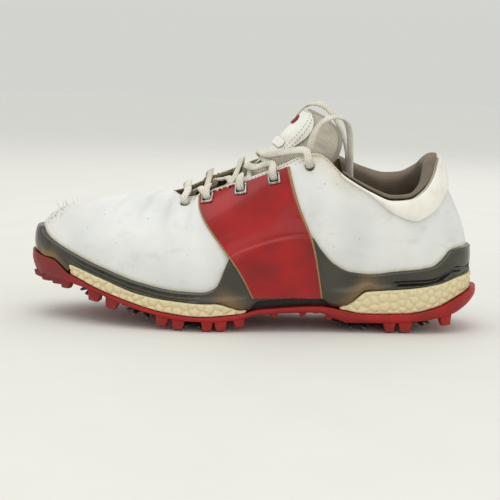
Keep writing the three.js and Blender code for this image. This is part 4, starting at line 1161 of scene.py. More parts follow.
# ------------------------------------------------------------------ the upper
@dataclass
class Upper:
    """Outer skin, lining, toe puff and heel counter."""

    columns: int = 300
    rows: int = 60
    crease_depth: float = 0.7

    def column_turn(self, u: float) -> float:
        """Turn of a column, all the way round from heel to heel."""
        return lerp(-1.0, 1.0, u)

    def relief(self, turn: float, v: float, p: Vector) -> float:
        """Small departures of the worn skin from the last: flex creases, lumps and a rolled edge."""
        lumps = 0.3 * smooth_noise(p, 26, 3) + 0.12 * smooth_noise(p, 9, 5)
        calm = 1 - smoothstep(v, 0.94, 0.99)
        return (lumps - self.crease_depth * self.crease(turn, v, p)) * calm

    def crease(self, turn: float, v: float, p: Vector) -> float:
        """How deep the skin is folded where the foot bends."""
        t = abs(turn)
        fold = 0.0
        for middle, slant, width, depth in ((-52, 0.25, 5, 1.0), (-66, 0.4, 4, 0.7), (-40, 0.1, 4, 0.6),
                                            (-84, 0.5, 5, 0.4)):
            line = p.x - middle - slant * (p.y - 5) + 2.5 * smooth_noise(p, 14, middle)
            flat = smoothstep(v, 0.35, 0.75) if t > 0.12 else 0.0
            fold = max(fold, depth * hump(line, 0, width) * flat)
        return fold

    def skin(self) -> None:
        """The white outer skin with its lace holes."""

        def place(u: float, v: float) -> Vector:
            """A point of the skin's outer face."""
            turn = self.column_turn(u)
            p = LAST.upper(turn, v)
            return p + LAST.normal(turn, v) * self.relief(turn, v, p)

        bm = lattice(self.columns, self.rows, place, 640, 120)
        u_layer, v_layer = shares(bm)
        face_out(bm, lambda f: f.calc_center_median() - Vector((0, 0, 50)))

        def aged(vert: BMVert) -> float:
            """Yellowing: along the frame's lip, the throat edge and the top line."""
            turn = self.column_turn(vert[u_layer])
            t = abs(turn)
            lip = SHELL_FRAME.top(t)
            low = 1 - smoothstep(vert.co.z, lip, lip + 3.2)
            high = smoothstep(vert[v_layer], 0.95, 1.0) * (0.8 if t > LAST.throat_turn else 0.0)
            instep = hump(vert.co.x, 52, 26) * smoothstep(vert[v_layer], 0.72, 1.0) * 0.7
            toe = (1 - smoothstep(t, 0.05, 0.3)) * smoothstep(vert.co.z, 50, 75) * 0.22
            return clamp(0.85 * low + high + instep + toe, 0, 1)

        def scuff(vert: BMVert) -> float:
            """Scuffing on the tip of the toe."""
            tip = Vector((-141, 4, 73))
            return 1 - smoothstep((vert.co - tip).length, 5, 17)

        paint(bm, "aged", aged)
        paint(bm, "scuff", scuff)
        # painted shade along the flex creases, greyed in the skin's colour
        paint(bm, "crease", lambda vert: 0.3 * self.crease(
            self.column_turn(vert[u_layer]), vert[v_layer], vert.co))
        skin = Piece("upper_skin", bm, [WHITE_SKIN, SKIN_EDGE]).thicken(LAST.skin, 1).settle()
        skin.drill(EYELETS.drill(LAST.gap)).done("white_microfibre", "upper_shell")

    def inner(self) -> None:
        """The textile lining."""

        def place(u: float, v: float) -> Vector:
            """A point of the lining's outer face."""
            turn = self.column_turn(u)
            return LAST.skin_point(turn, v * 0.995, LAST.lining_top(abs(turn)))

        bm = lattice(220, 30, place, 600, 110)
        u_layer, _ = shares(bm)
        face_out(bm, lambda f: f.calc_center_median() - Vector((0, 0, 50)))
        for face in bm.faces:
            t = abs(self.column_turn(face.verts[0][u_layer]))
            face.material_index = 1 if 0.34 < t < 0.6 and face.calc_center_median().z > 70 else 0
        lining = Piece("upper_lining_textile", bm, [LINING_KNIT, THROAT_LINING]).thicken(LAST.lining).settle()
        lining.drill(EYELETS.drill(3 * LAST.gap)).done("taupe_lining", "upper_lining")

    def edge_line(self, side: Side, below: float, start: float, end: float) -> list[tuple[Vector, Vector]]:
        """A line on the skin a set distance below the throat edge."""
        line = []
        for t in steps(start, end, 90):
            turn = side.value * t
            top = LAST.top(turn)
            v = 1.0
            while (LAST.upper(turn, v) - top).length < below:
                v -= 0.004
            line.append((LAST.upper(turn, v), LAST.normal(turn, v)))
        return line

    def stitches(self) -> None:
        """One row along the throat and top line, doubled where the side panel does not cover it."""
        bm = bmesh.new()
        sewing = Stitching()
        for side in Side:
            for below, start, end in ((1.7, 0.366, 0.645), (4.4, 0.366, 0.404), (4.4, 0.562, 0.585)):
                sewing.row(bm, self.edge_line(side, below, start, end))
        Piece("eyestay_stitches", bm, [THREAD]).done("cotton_lace")

    def frays(self) -> None:
        """Whiskers of torn coating on the scuffed toe."""
        rng = random.Random(11)
        bm = bmesh.new()
        for _ in range(11):
            turn, v = rng.uniform(-0.11, 0.05), rng.uniform(0.6, 0.86)
            foot, normal = LAST.upper(turn, v), LAST.normal(turn, v)
            side = normal.cross(Vector((rng.uniform(-1, 1), rng.uniform(-1, 1), 0.6))).normalized()
            length, width = rng.uniform(2.0, 4.6), rng.uniform(0.35, 0.8)
            lean = Vector((rng.uniform(-0.5, 0.9), rng.uniform(-0.6, 0.6), rng.uniform(0.1, 0.8)))

            def place(u: float, w: float) -> Vector:
                """A point of a curled whisker that narrows to its tip."""
                across = side * ((u - 0.5) * width * (1 - w) ** 0.7)
                return foot - normal * 0.1 + across + (normal * 0.7 + lean * w) * (length * w)

            whisker = lattice(1, 5, place)
            add_mesh(bm, whisker, Matrix.Identity(4))
            whisker.free()
        paint(bm, "aged", lambda vert: 0.3)
        paint(bm, "scuff", lambda vert: 0.9)
        Piece("toe_frays", bm, [WHITE_SKIN]).thicken(0.12).done("white_microfibre")

    def build(self) -> None:
        """Makes the layers and dresses the hidden stiffeners."""
        self.skin()
        self.inner()
        self.stitches()
        self.frays()
        dress_node("toe_puff", PUFF_BOARD)
        dress_node("heel_counter", PUFF_BOARD)


def dress_node(node: str, finish: Finish) -> None:
    """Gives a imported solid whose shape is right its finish."""
    mesh = frame["nodes"][node].data
    mesh.materials.clear()
    mesh.materials.append(finish.material())


# ------------------------------------------------------------------ collar
@dataclass
class Collar:
    """The padded leather collar outside and the knitted roll along the top line."""

    padding: float = 3.4
    start: float = 0.64
    roll_width: float = 5.0
    roll_depth: float = 15.0
    crest: float = 3.2
    columns: int = 190
    seam: tuple[Profile, Profile] = (
        Profile([
            (0.59, 118), (0.65, 104), (0.7, 92), (0.75, 81), (0.8, 76.5), (0.86, 82), (0.92, 92),
            (1, 100)]),
        Profile([
            (0.59, 120), (0.65, 110), (0.7, 99), (0.75, 89), (0.8, 85), (0.86, 88), (0.92, 94), (1, 100)]))
    _cache: dict = field(default_factory=dict)

    def turn(self, u: float) -> float:
        """Turn at a share of the way round the collar, through the heel."""
        return wrap_turn(lerp(self.start, 2 - self.start, u))

    def fade(self, turn: float) -> float:
        """0 at the front corners, 1 where the padding is full."""
        return smoothstep(abs(turn), self.start - 0.02, 0.74)

    def low_share(self, turn: float) -> float:
        """v of the pad's lower seam."""
        if turn not in self._cache:
            seam = self.seam[0 if turn < 0 else 1](abs(turn))
            self._cache[turn] = LAST.share_at(turn, min(seam, LAST.top(turn).z - 2))
        return self._cache[turn]

    def pad(self) -> None:
        """The soft leather pad, full in the middle and sunk at its lower seam."""
        around = 40

        def place(u: float, w: float) -> Vector:
            """A point on the pad's closed section: up its face, down its back."""
            turn = self.turn(u)
            k = w * 2 if w <= 0.5 else 2 - w * 2
            v = lerp(self.low_share(turn), 1, k)
            if w > 0.5:
                return LAST.skin_point(turn, v, 2 * LAST.gap)
            full = 0.25 + self.padding * self.fade(turn) * sin(pi * (0.04 + 0.84 * k)) ** 0.55
            p = LAST.upper(turn, v)
            pucker = 0.18 * smooth_noise(p, 7, 2) * sin(pi * clamp(k, 0, 1))
            return p + LAST.normal(turn, v) * (2 * LAST.gap + full + pucker)

        bm = lattice(self.columns, around, place, 230, 90)
        seal(bm)
        paint(bm, "aged", lambda vert: 0.25 * smoothstep(vert.co.z, 100, 122))
        pad = Piece("collar_pad_leather", bm, [PAD_LEATHER]).done("offwhite_leather", "collar_pad")

    def section(self, turn: float) -> SmoothLine:
        """The roll's closed section at a turn, from the foot of its inner leg over the top line and back."""
        if ("roll", turn) in self._cache:
            return self._cache["roll", turn]
        inside = LAST.lining_inside(abs(turn)) - 2.5 * LAST.gap
        full = self.roll_width * (0.3 + 0.7 * self.fade(turn))
        top_z = LAST.top(turn).z
        legs = [(k, LAST.share_at(turn, top_z - self.roll_depth * k)) for k in steps(1, 0, 4)]
        front = [LAST.skin_point(turn, v, inside - full * (0.12 + 0.88 * sin(pi / 2 * (1 - k)) ** 0.7))
                 for k, v in legs]
        for across, up in ((-0.95, 0.5), (-0.6, 0.95), (-0.1, 0.9), (0.16, 0.35)):
            p = LAST.skin_point(turn, 1, across * full)
            p.z += 3 * LAST.gap + self.crest * up * (0.5 + 0.5 * self.fade(turn))
            front.append(p)
        back = [LAST.skin_point(turn, v, inside) for _, v in legs]
        over = []
        for across in (-0.7, 0.1):
            p = LAST.skin_point(turn, 1, max(across * self.roll_width, inside))
            p.z += 3 * LAST.gap
            over.append(p)
        loop = front + over[::-1] + back[::-1]
        self._cache["roll", turn] = SmoothLine(loop + loop[:1])
        return self._cache["roll", turn]

    def roll(self) -> None:
        """The knitted roll."""
        bm = lattice(self.columns, 44, lambda u, w: self.section(self.turn(u)).at(w % 1.0), 210, 50)
        for _ in range(14):
            bmesh.ops.smooth_vert(bm, verts=bm.verts, factor=0.5, use_axis_x=True, use_axis_y=True,
                                  use_axis_z=True)
        seal(bm)
        roll = Piece("collar_roll_knit", bm, [ROLL_KNIT]).done("taupe_lining", "collar_roll")

    def build(self) -> None:
        """Makes both."""
        self.pad()
        self.roll()


# ------------------------------------------------------------------ moulded frame
@dataclass
class MouldedFrame:
    """The smoky frame that cups the upper, with a rail at the forefoot and wings at the waist."""

    thickness: float = 2.5
    flange: float = 4.0
    rail: float = 3.6
    waist_lift: float = 5.0
    top: Profile = Profile([
        (0, 63), (0.06, 62), (0.1, 58), (0.14, 54), (0.2, 47.5), (0.27, 39), (0.33, 31.5), (0.4, 26.6),
        (0.43, 26.4), (0.45, 29.5), (0.462, 42), (0.47, 51), (0.5, 58), (0.535, 63.5), (0.565, 66),
        (0.58, 64.5), (0.592, 57), (0.613, 47), (0.64, 41.2), (0.67, 40), (0.71, 42), (0.79, 45.5),
        (0.82, 50), (0.86, 57), (0.9, 58.5), (1, 59)])
    seat: Profile = Profile([
        (0.4, 0.3), (0.44, 1), (0.5, 1), (0.52, 0.3), (0.66, 0.3), (0.69, 1.6), (0.75, 1.4), (0.78, 0.3)])
    columns: int = 460
    front_rows: int = 44
    _cache: dict = field(default_factory=dict)

    def bottom(self, s: float) -> float:
        """Height of the underside: down to the outsole at the toe, lifted clear of it at the waist."""
        toe = smoothstep(s, 0.094, 0.104)
        waist = smoothstep(s, 0.492, 0.515) * (1 - smoothstep(s, 0.645, 0.675))
        return lerp(LAST.outsole_top(s), LAST.footing_top(s), toe) + self.seat(s) + self.waist_lift * waist

    def rail_out(self, s: float) -> float:
        """How far the rail stands out from the feather edge."""
        return self.rail * (1 - 0.25 * smoothstep(s, 0.45, 0.52) + 0.25 * smoothstep(s, 0.68, 0.74))

    def outer(self, turn: float, z: float) -> float:
        """Offset of the frame's outer face, as the solid has it."""
        t = abs(turn)
        feather = LAST.feather_z(turn)
        lip = clamp((self.top(t) - z) / 1.5, 0, 1)
        on_skin = lerp(self.thickness * 0.5, self.thickness, lip)
        return lerp(self.rail_out(LAST.station_of(t)), on_skin, smoothstep(z, feather - 0.5, feather + 3))

    def slot(self, t: float, z: float, half: float, power: float) -> float:
        """The long slot beside the heel: 1 along its middle, falling to 0 at half its width."""
        heel = smoothstep(t, 0.70, 0.725) * (1 - smoothstep(t, 0.94, 0.965))
        middle = lerp(8.4, 12.5, smoothstep(t, 0.7, 0.93)) + 3.0 * hump(t, 0.9, 0.09)
        return hump(self.top(t) - z, middle, half) ** power * heel

    def detail(self, turn: float, z: float, k: float) -> tuple[float, float]:
        """Moulded ridges, grooves and pockets.

        Args:
            turn: place round the shoe.
            z: height.
            k: share of the way up the outer face.

        Returns:
            The change of offset and how much of a groove it is.
        """
        t = abs(turn)
        crest = self.top(t)
        below = crest - z
        change, groove = 0.0, 0.0
        forefoot = smoothstep(t, 0.17, 0.22) * (1 - smoothstep(t, 0.41, 0.435))
        for depth, place, half in ((0.9, 2.6, 1.0), (0.8, 5.4, 0.9)):
            line = hump(below, place, half) * forefoot
            change -= depth * line
            groove = max(groove, line)
        toe_cap = 1 - smoothstep(t, 0.125, 0.14)
        change += 0.9 * toe_cap * smoothstep(below, 0.0, 2.5) * (1 - smoothstep(below, 13, 15.5))
        change += 0.9 * hump(t, 0.125, 0.03) * hump(below, 11, 5)
        lip = hump(below, 1.0, 1.3) * (1 - toe_cap)
        change += 0.45 * lip
        change -= 2.6 * self.slot(t, z, 2.3, 0.5)
        arch = smoothstep(t, 0.585, 0.6) * (1 - smoothstep(t, 0.665, 0.685))
        change += 0.8 * arch * hump(k, 0.32, 0.24)
        return change, groove

    def face_at(self, turn: float, k: float) -> tuple[Vector, float]:
        """A point on the outer face and its groove value; k runs from the underside to the lip."""
        t = abs(turn)
        low = LAST.edge_at(turn, LAST.inset_at(t) - self.outer(turn, 0), self.bottom)
        z = lerp(low.z, self.top(t), k)
        change, groove = self.detail(turn, z, k)
        round_in = 0.9 * (1 - smoothstep(k, 0, 0.09)) + 0.5 * smoothstep(k, 0.95, 1)
        if k < 1e-6:
            p = LAST.edge_at(turn, LAST.inset_at(t) - self.outer(turn, 0) + round_in, self.bottom)
            return p, groove
        return LAST.side_point(turn, z, self.outer(turn, z) + change - round_in), groove

    def section(self, turn: float) -> list[Vector]:
        """The frame's closed section at a turn."""
        if turn in self._cache:
            return self._cache[turn][0]
        t = abs(turn)
        front = [self.face_at(turn, k) for k in steps(0, 1, self.front_rows)]
        rim = LAST.feather_z(turn) - LAST.gap
        inset = LAST.inset_at(t)
        crest = self.top(t)
        back = [LAST.side_point(turn, lerp(crest, rim + 0.4, k), LAST.gap) for k in steps(0, 1, 7)]
        back.append(LAST.edge_at(turn, inset + self.flange, lambda s: LAST.feather_height(s) - LAST.gap))
        back.append(LAST.edge_at(turn, inset + self.flange, self.bottom))
        points = [p for p, _ in front] + back
        self._cache[turn] = (points, [g for _, g in front] + [0.0] * len(back))
        return points

    def build(self) -> None:
        """Makes the frame as one closed ring."""
        count = self.front_rows + 1 + 10

        def place(u: float, w: float) -> Vector:
            """A point of the frame: round the shoe, then round the section."""
            turn = wrap_turn(-1 + 2 * u)
            return self.section(turn)[round(w * count) % count]

        bm = lattice(self.columns, count, place, 700, 60)
        u_layer, v_layer = shares(bm)
        face_out(bm)

        def groove(vert: BMVert) -> float:
            """Dust in the grooves and along the lip."""
            turn = wrap_turn(-1 + 2 * vert[u_layer])
            values = self._cache[turn][1] if turn in self._cache else [0.0] * count
            return values[round(vert[v_layer] * count) % count]

        def thin(vert: BMVert) -> float:
            """Tan where the moulding is thin: low at the toe and at the lobes beside the waist."""
            t = abs(-1 + 2 * vert[u_layer])
            s = LAST.station_at(vert.co.x)
            low = 1 - smoothstep(vert.co.z - self.bottom(s), 1.5, 8)
            toe = hump(t, 0.13, 0.09) * low
            front = hump(t, 0.47, 0.035) * (1 - smoothstep(vert.co.z - self.bottom(s), 1, 14))
            rear = hump(t, 0.655, 0.05) * (1 - smoothstep(vert.co.z - self.bottom(s), 3, 15))
            return clamp(0.95 * toe + 0.85 * front + 0.8 * rear, 0, 1)

        paint(bm, "groove", groove)
        paint(bm, "thin", thin)
        # painted shade along the heel slot, which the frame's colour darkens to near black
        paint(bm, "slot_shade", lambda vert: self.slot(abs(wrap_turn(-1 + 2 * vert[u_layer])), vert.co.z, 2.1, 0.6))
        Piece("sole_frame_moulding", bm, [FRAME_TPU]).done("olive_tpu", "sole_frame")


SHELL_FRAME = MouldedFrame()


# ------------------------------------------------------------------ sole blocks
@dataclass
class BeadBlock:
    """A midsole block of fused foam beads with a wall of real beads."""

    name: str
    node: str
    start: float
    end: float
    top: Height
    bead: float = 6.4
    swell: float = 1.7
    columns: int = 560
    wall_rows: int = 24
    seed: int = 3

    @property
    def wraps_heel(self) -> bool:
        """Whether the block runs round the heel in one curve."""
        return self.end > 0.98

    def spot(self, u: float) -> Vector:
        """A point round the block's outline, level; u goes once round."""
        u = u % 1.0
        a, b = LAST.turn_of(self.start), LAST.turn_of(self.end)
        if self.wraps_heel:
            corners = [(0.0, 0.88, -a, a - 2)]
            cross = [(0.88, 1.0, a)]
        else:
            corners = [(0.0, 0.44, -a, -b), (0.5, 0.94, b, a)]
            cross = [(0.44, 0.5, -b), (0.94, 1.0, a)]
        for low, high, first, last in corners:
            if low <= u <= high:
                return self.rim(wrap_turn(lerp(first, last, (u - low) / (high - low))))
        for low, high, turn in cross:
            if low < u < high:
                return self.rim(turn).lerp(self.rim(-turn), (u - low) / (high - low))
        return self.rim(-a)

    def rim(self, turn: float) -> Vector:
        """The block's edge at a turn, level."""
        return LAST.edge(turn, LAST.inset_at(abs(turn)) - LAST.feather_inset + 1.2, 0)

    def wall(self, u: float, k: float) -> tuple[Vector, Vector]:
        """A point on the plain wall and its outward direction; u runs round the block, k up it."""
        step = 0.004
        ahead = self.spot(u + step) - self.spot(u - step)
        out = Vector((ahead.y, -ahead.x, 0)).normalized()
        p = self.spot(u)
        s = clamp(LAST.station_at(p.x), 0.001, 0.999)
        p.z = lerp(LAST.foam_bottom(s), self.top(s), k)
        return p - out * (0.8 * (1 - k)), out

    def seeds(self) -> kdtree.KDTree:
        """Bead centres scattered evenly over the wall."""
        rng = random.Random(self.seed)
        centres: list[Vector] = []
        tries = []
        for u in steps(0, 1, 1600)[:-1]:
            low, _ = self.wall(u, 0)
            high, _ = self.wall(u, 1)
            for _ in range(max(1, int((high - low).length / 2.2))):
                tries.append((rng.random(), low.lerp(high, rng.uniform(-0.1, 1.1))))
        tries.sort(key=lambda item: item[0])
        cells: dict[tuple, list[Vector]] = {}
        reach = self.bead * 0.8
        for _, p in tries:
            key = (int(p.x // reach), int(p.y // reach), int(p.z // reach))
            near = [q for dx in (-1, 0, 1) for dy in (-1, 0, 1) for dz in (-1, 0, 1)
                    for q in cells.get((key[0] + dx, key[1] + dy, key[2] + dz), ())]
            room = reach * rng.uniform(0.82, 1.15)
            if all((p - q).length > room for q in near):
                cells.setdefault(key, []).append(p)
                centres.append(p)
        tree = kdtree.KDTree(len(centres))
        for i, p in enumerate(centres):
            tree.insert(p, i)
        tree.balance()
        return tree

    def build(self) -> None:
        """Makes the block: beaded wall, plain top and bottom."""
        tree = self.seeds()
        rows = self.wall_rows + 4

        def off_seam(p: Vector, width: float) -> float:
            """0 on the seam between two beads and 1 at a share of a bead away from it."""
            near, other = tree.find_n(p, 2)
            return clamp((other[2] - near[2]) / (self.bead * width), 0, 1)

        def place(u: float, w: float) -> Vector:
            """A point of the block: bottom face, wall, top face."""
            row = round(w * rows)
            inward = min(row, rows - row)
            if inward < 2:
                height = LAST.foam_bottom if row < 2 else self.top
                p, _ = self.wall(u, 0.0 if row < 2 else 1.0)
                x = clamp(p.x, LAST.x_of(self.start) + 24, LAST.x_of(self.end) - 24)
                middle = Vector((x, LAST.centre_shift(LAST.station_at(p.x)), 0))
                q = middle.lerp(p, 0.5 * inward)
                q.z = height(LAST.station_at(q.x))
                return q
            k = (row - 2) / (rows - 4)
            p, out = self.wall(u, k)
            dome = sqrt(1 - (1 - off_seam(p, 0.7)) ** 2)
            return p + out * (self.swell * (dome - 0.45) * smoothstep(min(k, 1 - k), 0, 0.08))

        bm = lattice(self.columns, rows, place, 500, 30)
        face_out(bm)
        # nearness to the seams between beads, which the foam's colour darkens partly as painted shade and
        # partly as dirt
        paint(bm, "bead", lambda vert: off_seam(vert.co, 0.62))
        Piece(self.name, bm, [FOAM]).done("bead_foam", self.node)

@dataclass
class Outsole:
    """The lugged rubber tread with its toe bumper and the bridge at the waist."""

    columns: int = 300
    rows: int = 28
    chamfer: float = 2.4
    lug_height: float = 6.6
    cleat_stations: tuple[float, ...] = (0.13, 0.245, 0.37, 0.735, 0.868)

    def slab(self) -> BMesh:
        """The tread itself: a closed skin from the middle of its underside to that of its top."""

        def place(u: float, w: float) -> Vector:
            """A point of the slab."""
            turn = wrap_turn(-1 + 2 * u)
            low = w < 0.5
            k = w * 2 if low else 2 - 2 * w
            corner = clamp((k - 0.7) / 0.3, 0, 1)
            inset = lerp(self.chamfer, 0.0, sin(corner * pi / 2)) if low else 0.25 * (1 - corner)
            own = clamp(LAST.station_of(abs(turn)), 0.1, 0.93)
            spine = Vector((LAST.x_of(own), LAST.centre_shift(own), 0))
            p = spine.lerp(LAST.edge(turn, inset, 0), smoothstep(k, 0, 0.7))
            s = clamp(LAST.station_at(p.x), 0.001, 0.999)
            bottom, top = LAST.outsole_bottom(s), LAST.outsole_top(s)
            rise = (top - bottom) * corner ** 1.4
            p.z = bottom + 0.45 * rise if low else top - 0.5 * rise
            return p

        return lattice(self.columns, self.rows, place, 700, 80)

    def lug(self, length: float, width: float, height: float, taper: float = 0.62) -> BMesh:
        """One tread lug standing on -Z from the origin, tapered, with rounded edges."""
        bm = bmesh.new()
        bmesh.ops.create_cube(bm, size=1)
        bmesh.ops.scale(bm, vec=(length, width, height + 1), verts=bm.verts)
        bmesh.ops.translate(bm, vec=(0, 0, -(height + 1) / 2 + 1), verts=bm.verts)
        tip = [vert for vert in bm.verts if vert.co.z < -height / 2]
        bmesh.ops.scale(bm, vec=(taper, 0.78, 1), verts=tip)
        bmesh.ops.bevel(bm, geom=bm.edges[:], offset=0.55, segments=2, profile=0.5,
                        affect="EDGES", material=-1)
        return bm

    def lugs(self, bm: BMesh) -> None:
        """Adds the rows of lugs, leaving room for the cleats."""
        rng = random.Random(5)
        edge_row = [0.012, 0.034, 0.058, 0.08, 0.152, 0.192, 0.305, 0.34, 0.405, 0.435, 0.475,
                    0.55, 0.612, 0.67, 0.8, 0.835, 0.93]
        inner_row = [0.075, 0.16, 0.19, 0.29, 0.31, 0.335, 0.41, 0.43, 0.455, 0.7, 0.775, 0.8, 0.825, 0.91]
        rows = [(edge_row, 6.2, 1.0), (inner_row, 33, 1.0), ([0.2, 0.3, 0.42, 0.455, 0.79, 0.83], 46, 0.9)]
        for stations, inset, scale in rows:
            for s in stations:
                for side in Side:
                    turn = side.value * LAST.turn_of(s)
                    p = LAST.edge(turn, inset if s > 0.05 else 5, 0)
                    near_waist = smoothstep(s, 0.46, 0.5) * (1 - smoothstep(s, 0.67, 0.71))
                    size = lerp(1.0, 0.6, near_waist) * scale
                    ends = smoothstep(s, 0.03, 0.12) * (1 - smoothstep(s, 0.93, 0.97))
                    height = lerp(2.6, self.lug_height - 0.1, ends) * lerp(1, 0.45, near_waist)
                    at = LAST.station_at(p.x)
                    p.z = LAST.outsole_bottom(at)
                    tilt = LAST.tread_slope(at)
                    lug = self.lug(9.5 * size * rng.uniform(0.9, 1.1), 7.5 * size, height)
                    up = Vector((-tilt * 0.7, 0, 1))
                    along = LAST.outward(turn).cross(Vector((0, 0, 1)))
                    ahead = (along if along.x > 0 else -along).lerp(Vector((1, 0, 0)), 0.5)
                    add_mesh(bm, lug, standing(p, up, ahead))
                    lug.free()

    def bridge(self, bm: BMesh) -> None:
        """Adds the ribs of the waist bridge."""
        for s in (0.53, 0.555, 0.585, 0.61, 0.64):
            for y in (-22, -11, 0, 11, 20):
                rib = self.lug(5.5, 8, 2.6, 0.8)
                at = Vector((LAST.x_of(s), LAST.centre_shift(s) + y, LAST.outsole_bottom(s)))
                add_mesh(bm, rib, standing(at, Vector((0, 0, 1))))
                rib.free()

    def bosses(self, bm: BMesh) -> None:
        """Adds a raised ring round each cleat's seat."""
        for place, up, _ in cleat_places():
            ring = lattice(36, 8, lambda u, w: turned(8.9 + 1.2 * cos(2 * pi * w), 0.9 * sin(2 * pi * w), u))
            face_out(ring)
            add_mesh(bm, ring, standing(place, up))
            ring.free()

    def build(self) -> None:
        """Makes the outsole in one piece."""
        bm = self.slab()
        face_out(bm)
        self.lugs(bm)
        self.bridge(bm)
        self.bosses(bm)
        paint(bm, "worn", lambda vert: 1 - smoothstep(vert.co.x, -140, -95))
        paint(bm, "soil", lambda vert: 1 - smoothstep(
            vert.co.z - LAST.outsole_bottom(LAST.station_at(vert.co.x)), -6, 1.5))
        Piece("outsole_tread", bm, [RED_RUBBER]).done("red_rubber", "outsole")


def cleat_places() -> list[tuple[Vector, Vector, str]]:
    """Each cleat's seat, the direction up into the sole, and the rest of its name."""
    spots = []
    for station in Outsole.cleat_stations:
        for side in Side:
            turn = side.value * LAST.turn_of(station)
            place = LAST.edge_at(turn, Cleats.inset, LAST.outsole_bottom)
            tilt = LAST.tread_slope(LAST.station_at(place.x))
            name = f"{side.name.lower()}_{math.floor(station * 100 + 0.5)}"
            spots.append((place, Vector((-tilt, 0, 1)).normalized(), name))
    return spots


@dataclass
class Cleats:
    """Ten twist-in cleats: a domed hub with spanner holes and curved, splayed legs."""

    inset: float = 19.0
    flange: float = 8.4
    legs: int = 6
    reach: float = 10.4
    drop: float = 3.5
    standoff: float = 0.8
    hub_thickness: float = 1.8

    def hub(self) -> BMesh:
        """The hub, turned about its axis."""
        seat = -self.standoff
        foot = seat - self.hub_thickness
        section = [(0.0, foot - 0.9), (2.2, foot - 0.9), (2.7, foot - 0.5), (4.4, foot - 0.35),
                   (6.2, foot + 0.1), (7.2, foot + 0.4), (8.2, seat - 0.5), (8.4, seat - 0.1), (8.1, seat),
                   (3.0, seat), (3.0, 3.4), (2.6, 3.6), (0.0, 3.6)]
        last = len(section) - 1
        bm = lattice(40, last, lambda u, w: turned(*section[round(w * last)], u))
        face_out(bm)
        return bm

    def leg(self) -> BMesh:
        """One curved leg along +X, thick at the hub and round at its tip."""
        foot = -self.standoff - self.hub_thickness
        route = [(4.6, 0.5), (6.6, -0.3), (8.4, -1.3), (9.7, -2.6), (self.reach - 0.5, 0.3 - self.drop)]
        line = SmoothLine([Vector((x, 0, foot + z)) for x, z in route])

        def place(u: float, w: float) -> Vector:
            """A point of the leg: along it, then round it."""
            middle = line.at(u)
            ahead = (line.at(min(u + 0.02, 1)) - line.at(max(u - 0.02, 0))).normalized()
            across = Vector((0, 1, 0))
            up = ahead.cross(across)
            end = sqrt(max(0.0, 1 - smoothstep(u, 0.86, 1.0) ** 2))
            wide, deep = lerp(2.0, 1.15, u) * end, lerp(1.4, 0.9, u) * end
            angle = 2 * pi * w
            return middle + across * (wide * cos(angle)) + up * (deep * sin(angle))

        bm = lattice(12, 12, place)
        seal(bm)
        return bm

    def build(self) -> None:
        """Makes all ten and dresses their pockets."""
        hub, leg = self.hub(), self.leg()
        foot = -self.standoff - self.hub_thickness
        for place, up, name in cleat_places():
            bm = bmesh.new()
            add_mesh(bm, hub, Matrix.Identity(4))
            for k in range(self.legs):
                add_mesh(bm, leg, Matrix.Rotation(2 * pi * k / self.legs, 4, "Z"))
            for k in range(4):
                pin = bmesh.new()
                bmesh.ops.create_cone(pin, cap_ends=True, segments=10, radius1=0.5, radius2=0.75, depth=0.7)
                spot = Matrix.Rotation(pi * (k + 0.5) / 2, 4, "Z") @ Matrix.Translation((4.4, 0, foot - 0.6))
                add_mesh(bm, pin, spot)
                pin.free()
            tip = foot - self.drop
            paint(bm, "worn", lambda vert: 1 - smoothstep(vert.co.z, tip, tip + 2.6))
            bmesh.ops.transform(bm, matrix=standing(place, up), verts=bm.verts)
            piece = Piece(f"cleat_{name}_star", bm, [CLEAT_PLASTIC], body=f"cleat_{name}")
            piece.done("cleat_plastic", f"cleat_{name}")
            dress_node(f"receptacle_{name}", POCKET_PLASTIC)
        hub.free()
        leg.free()


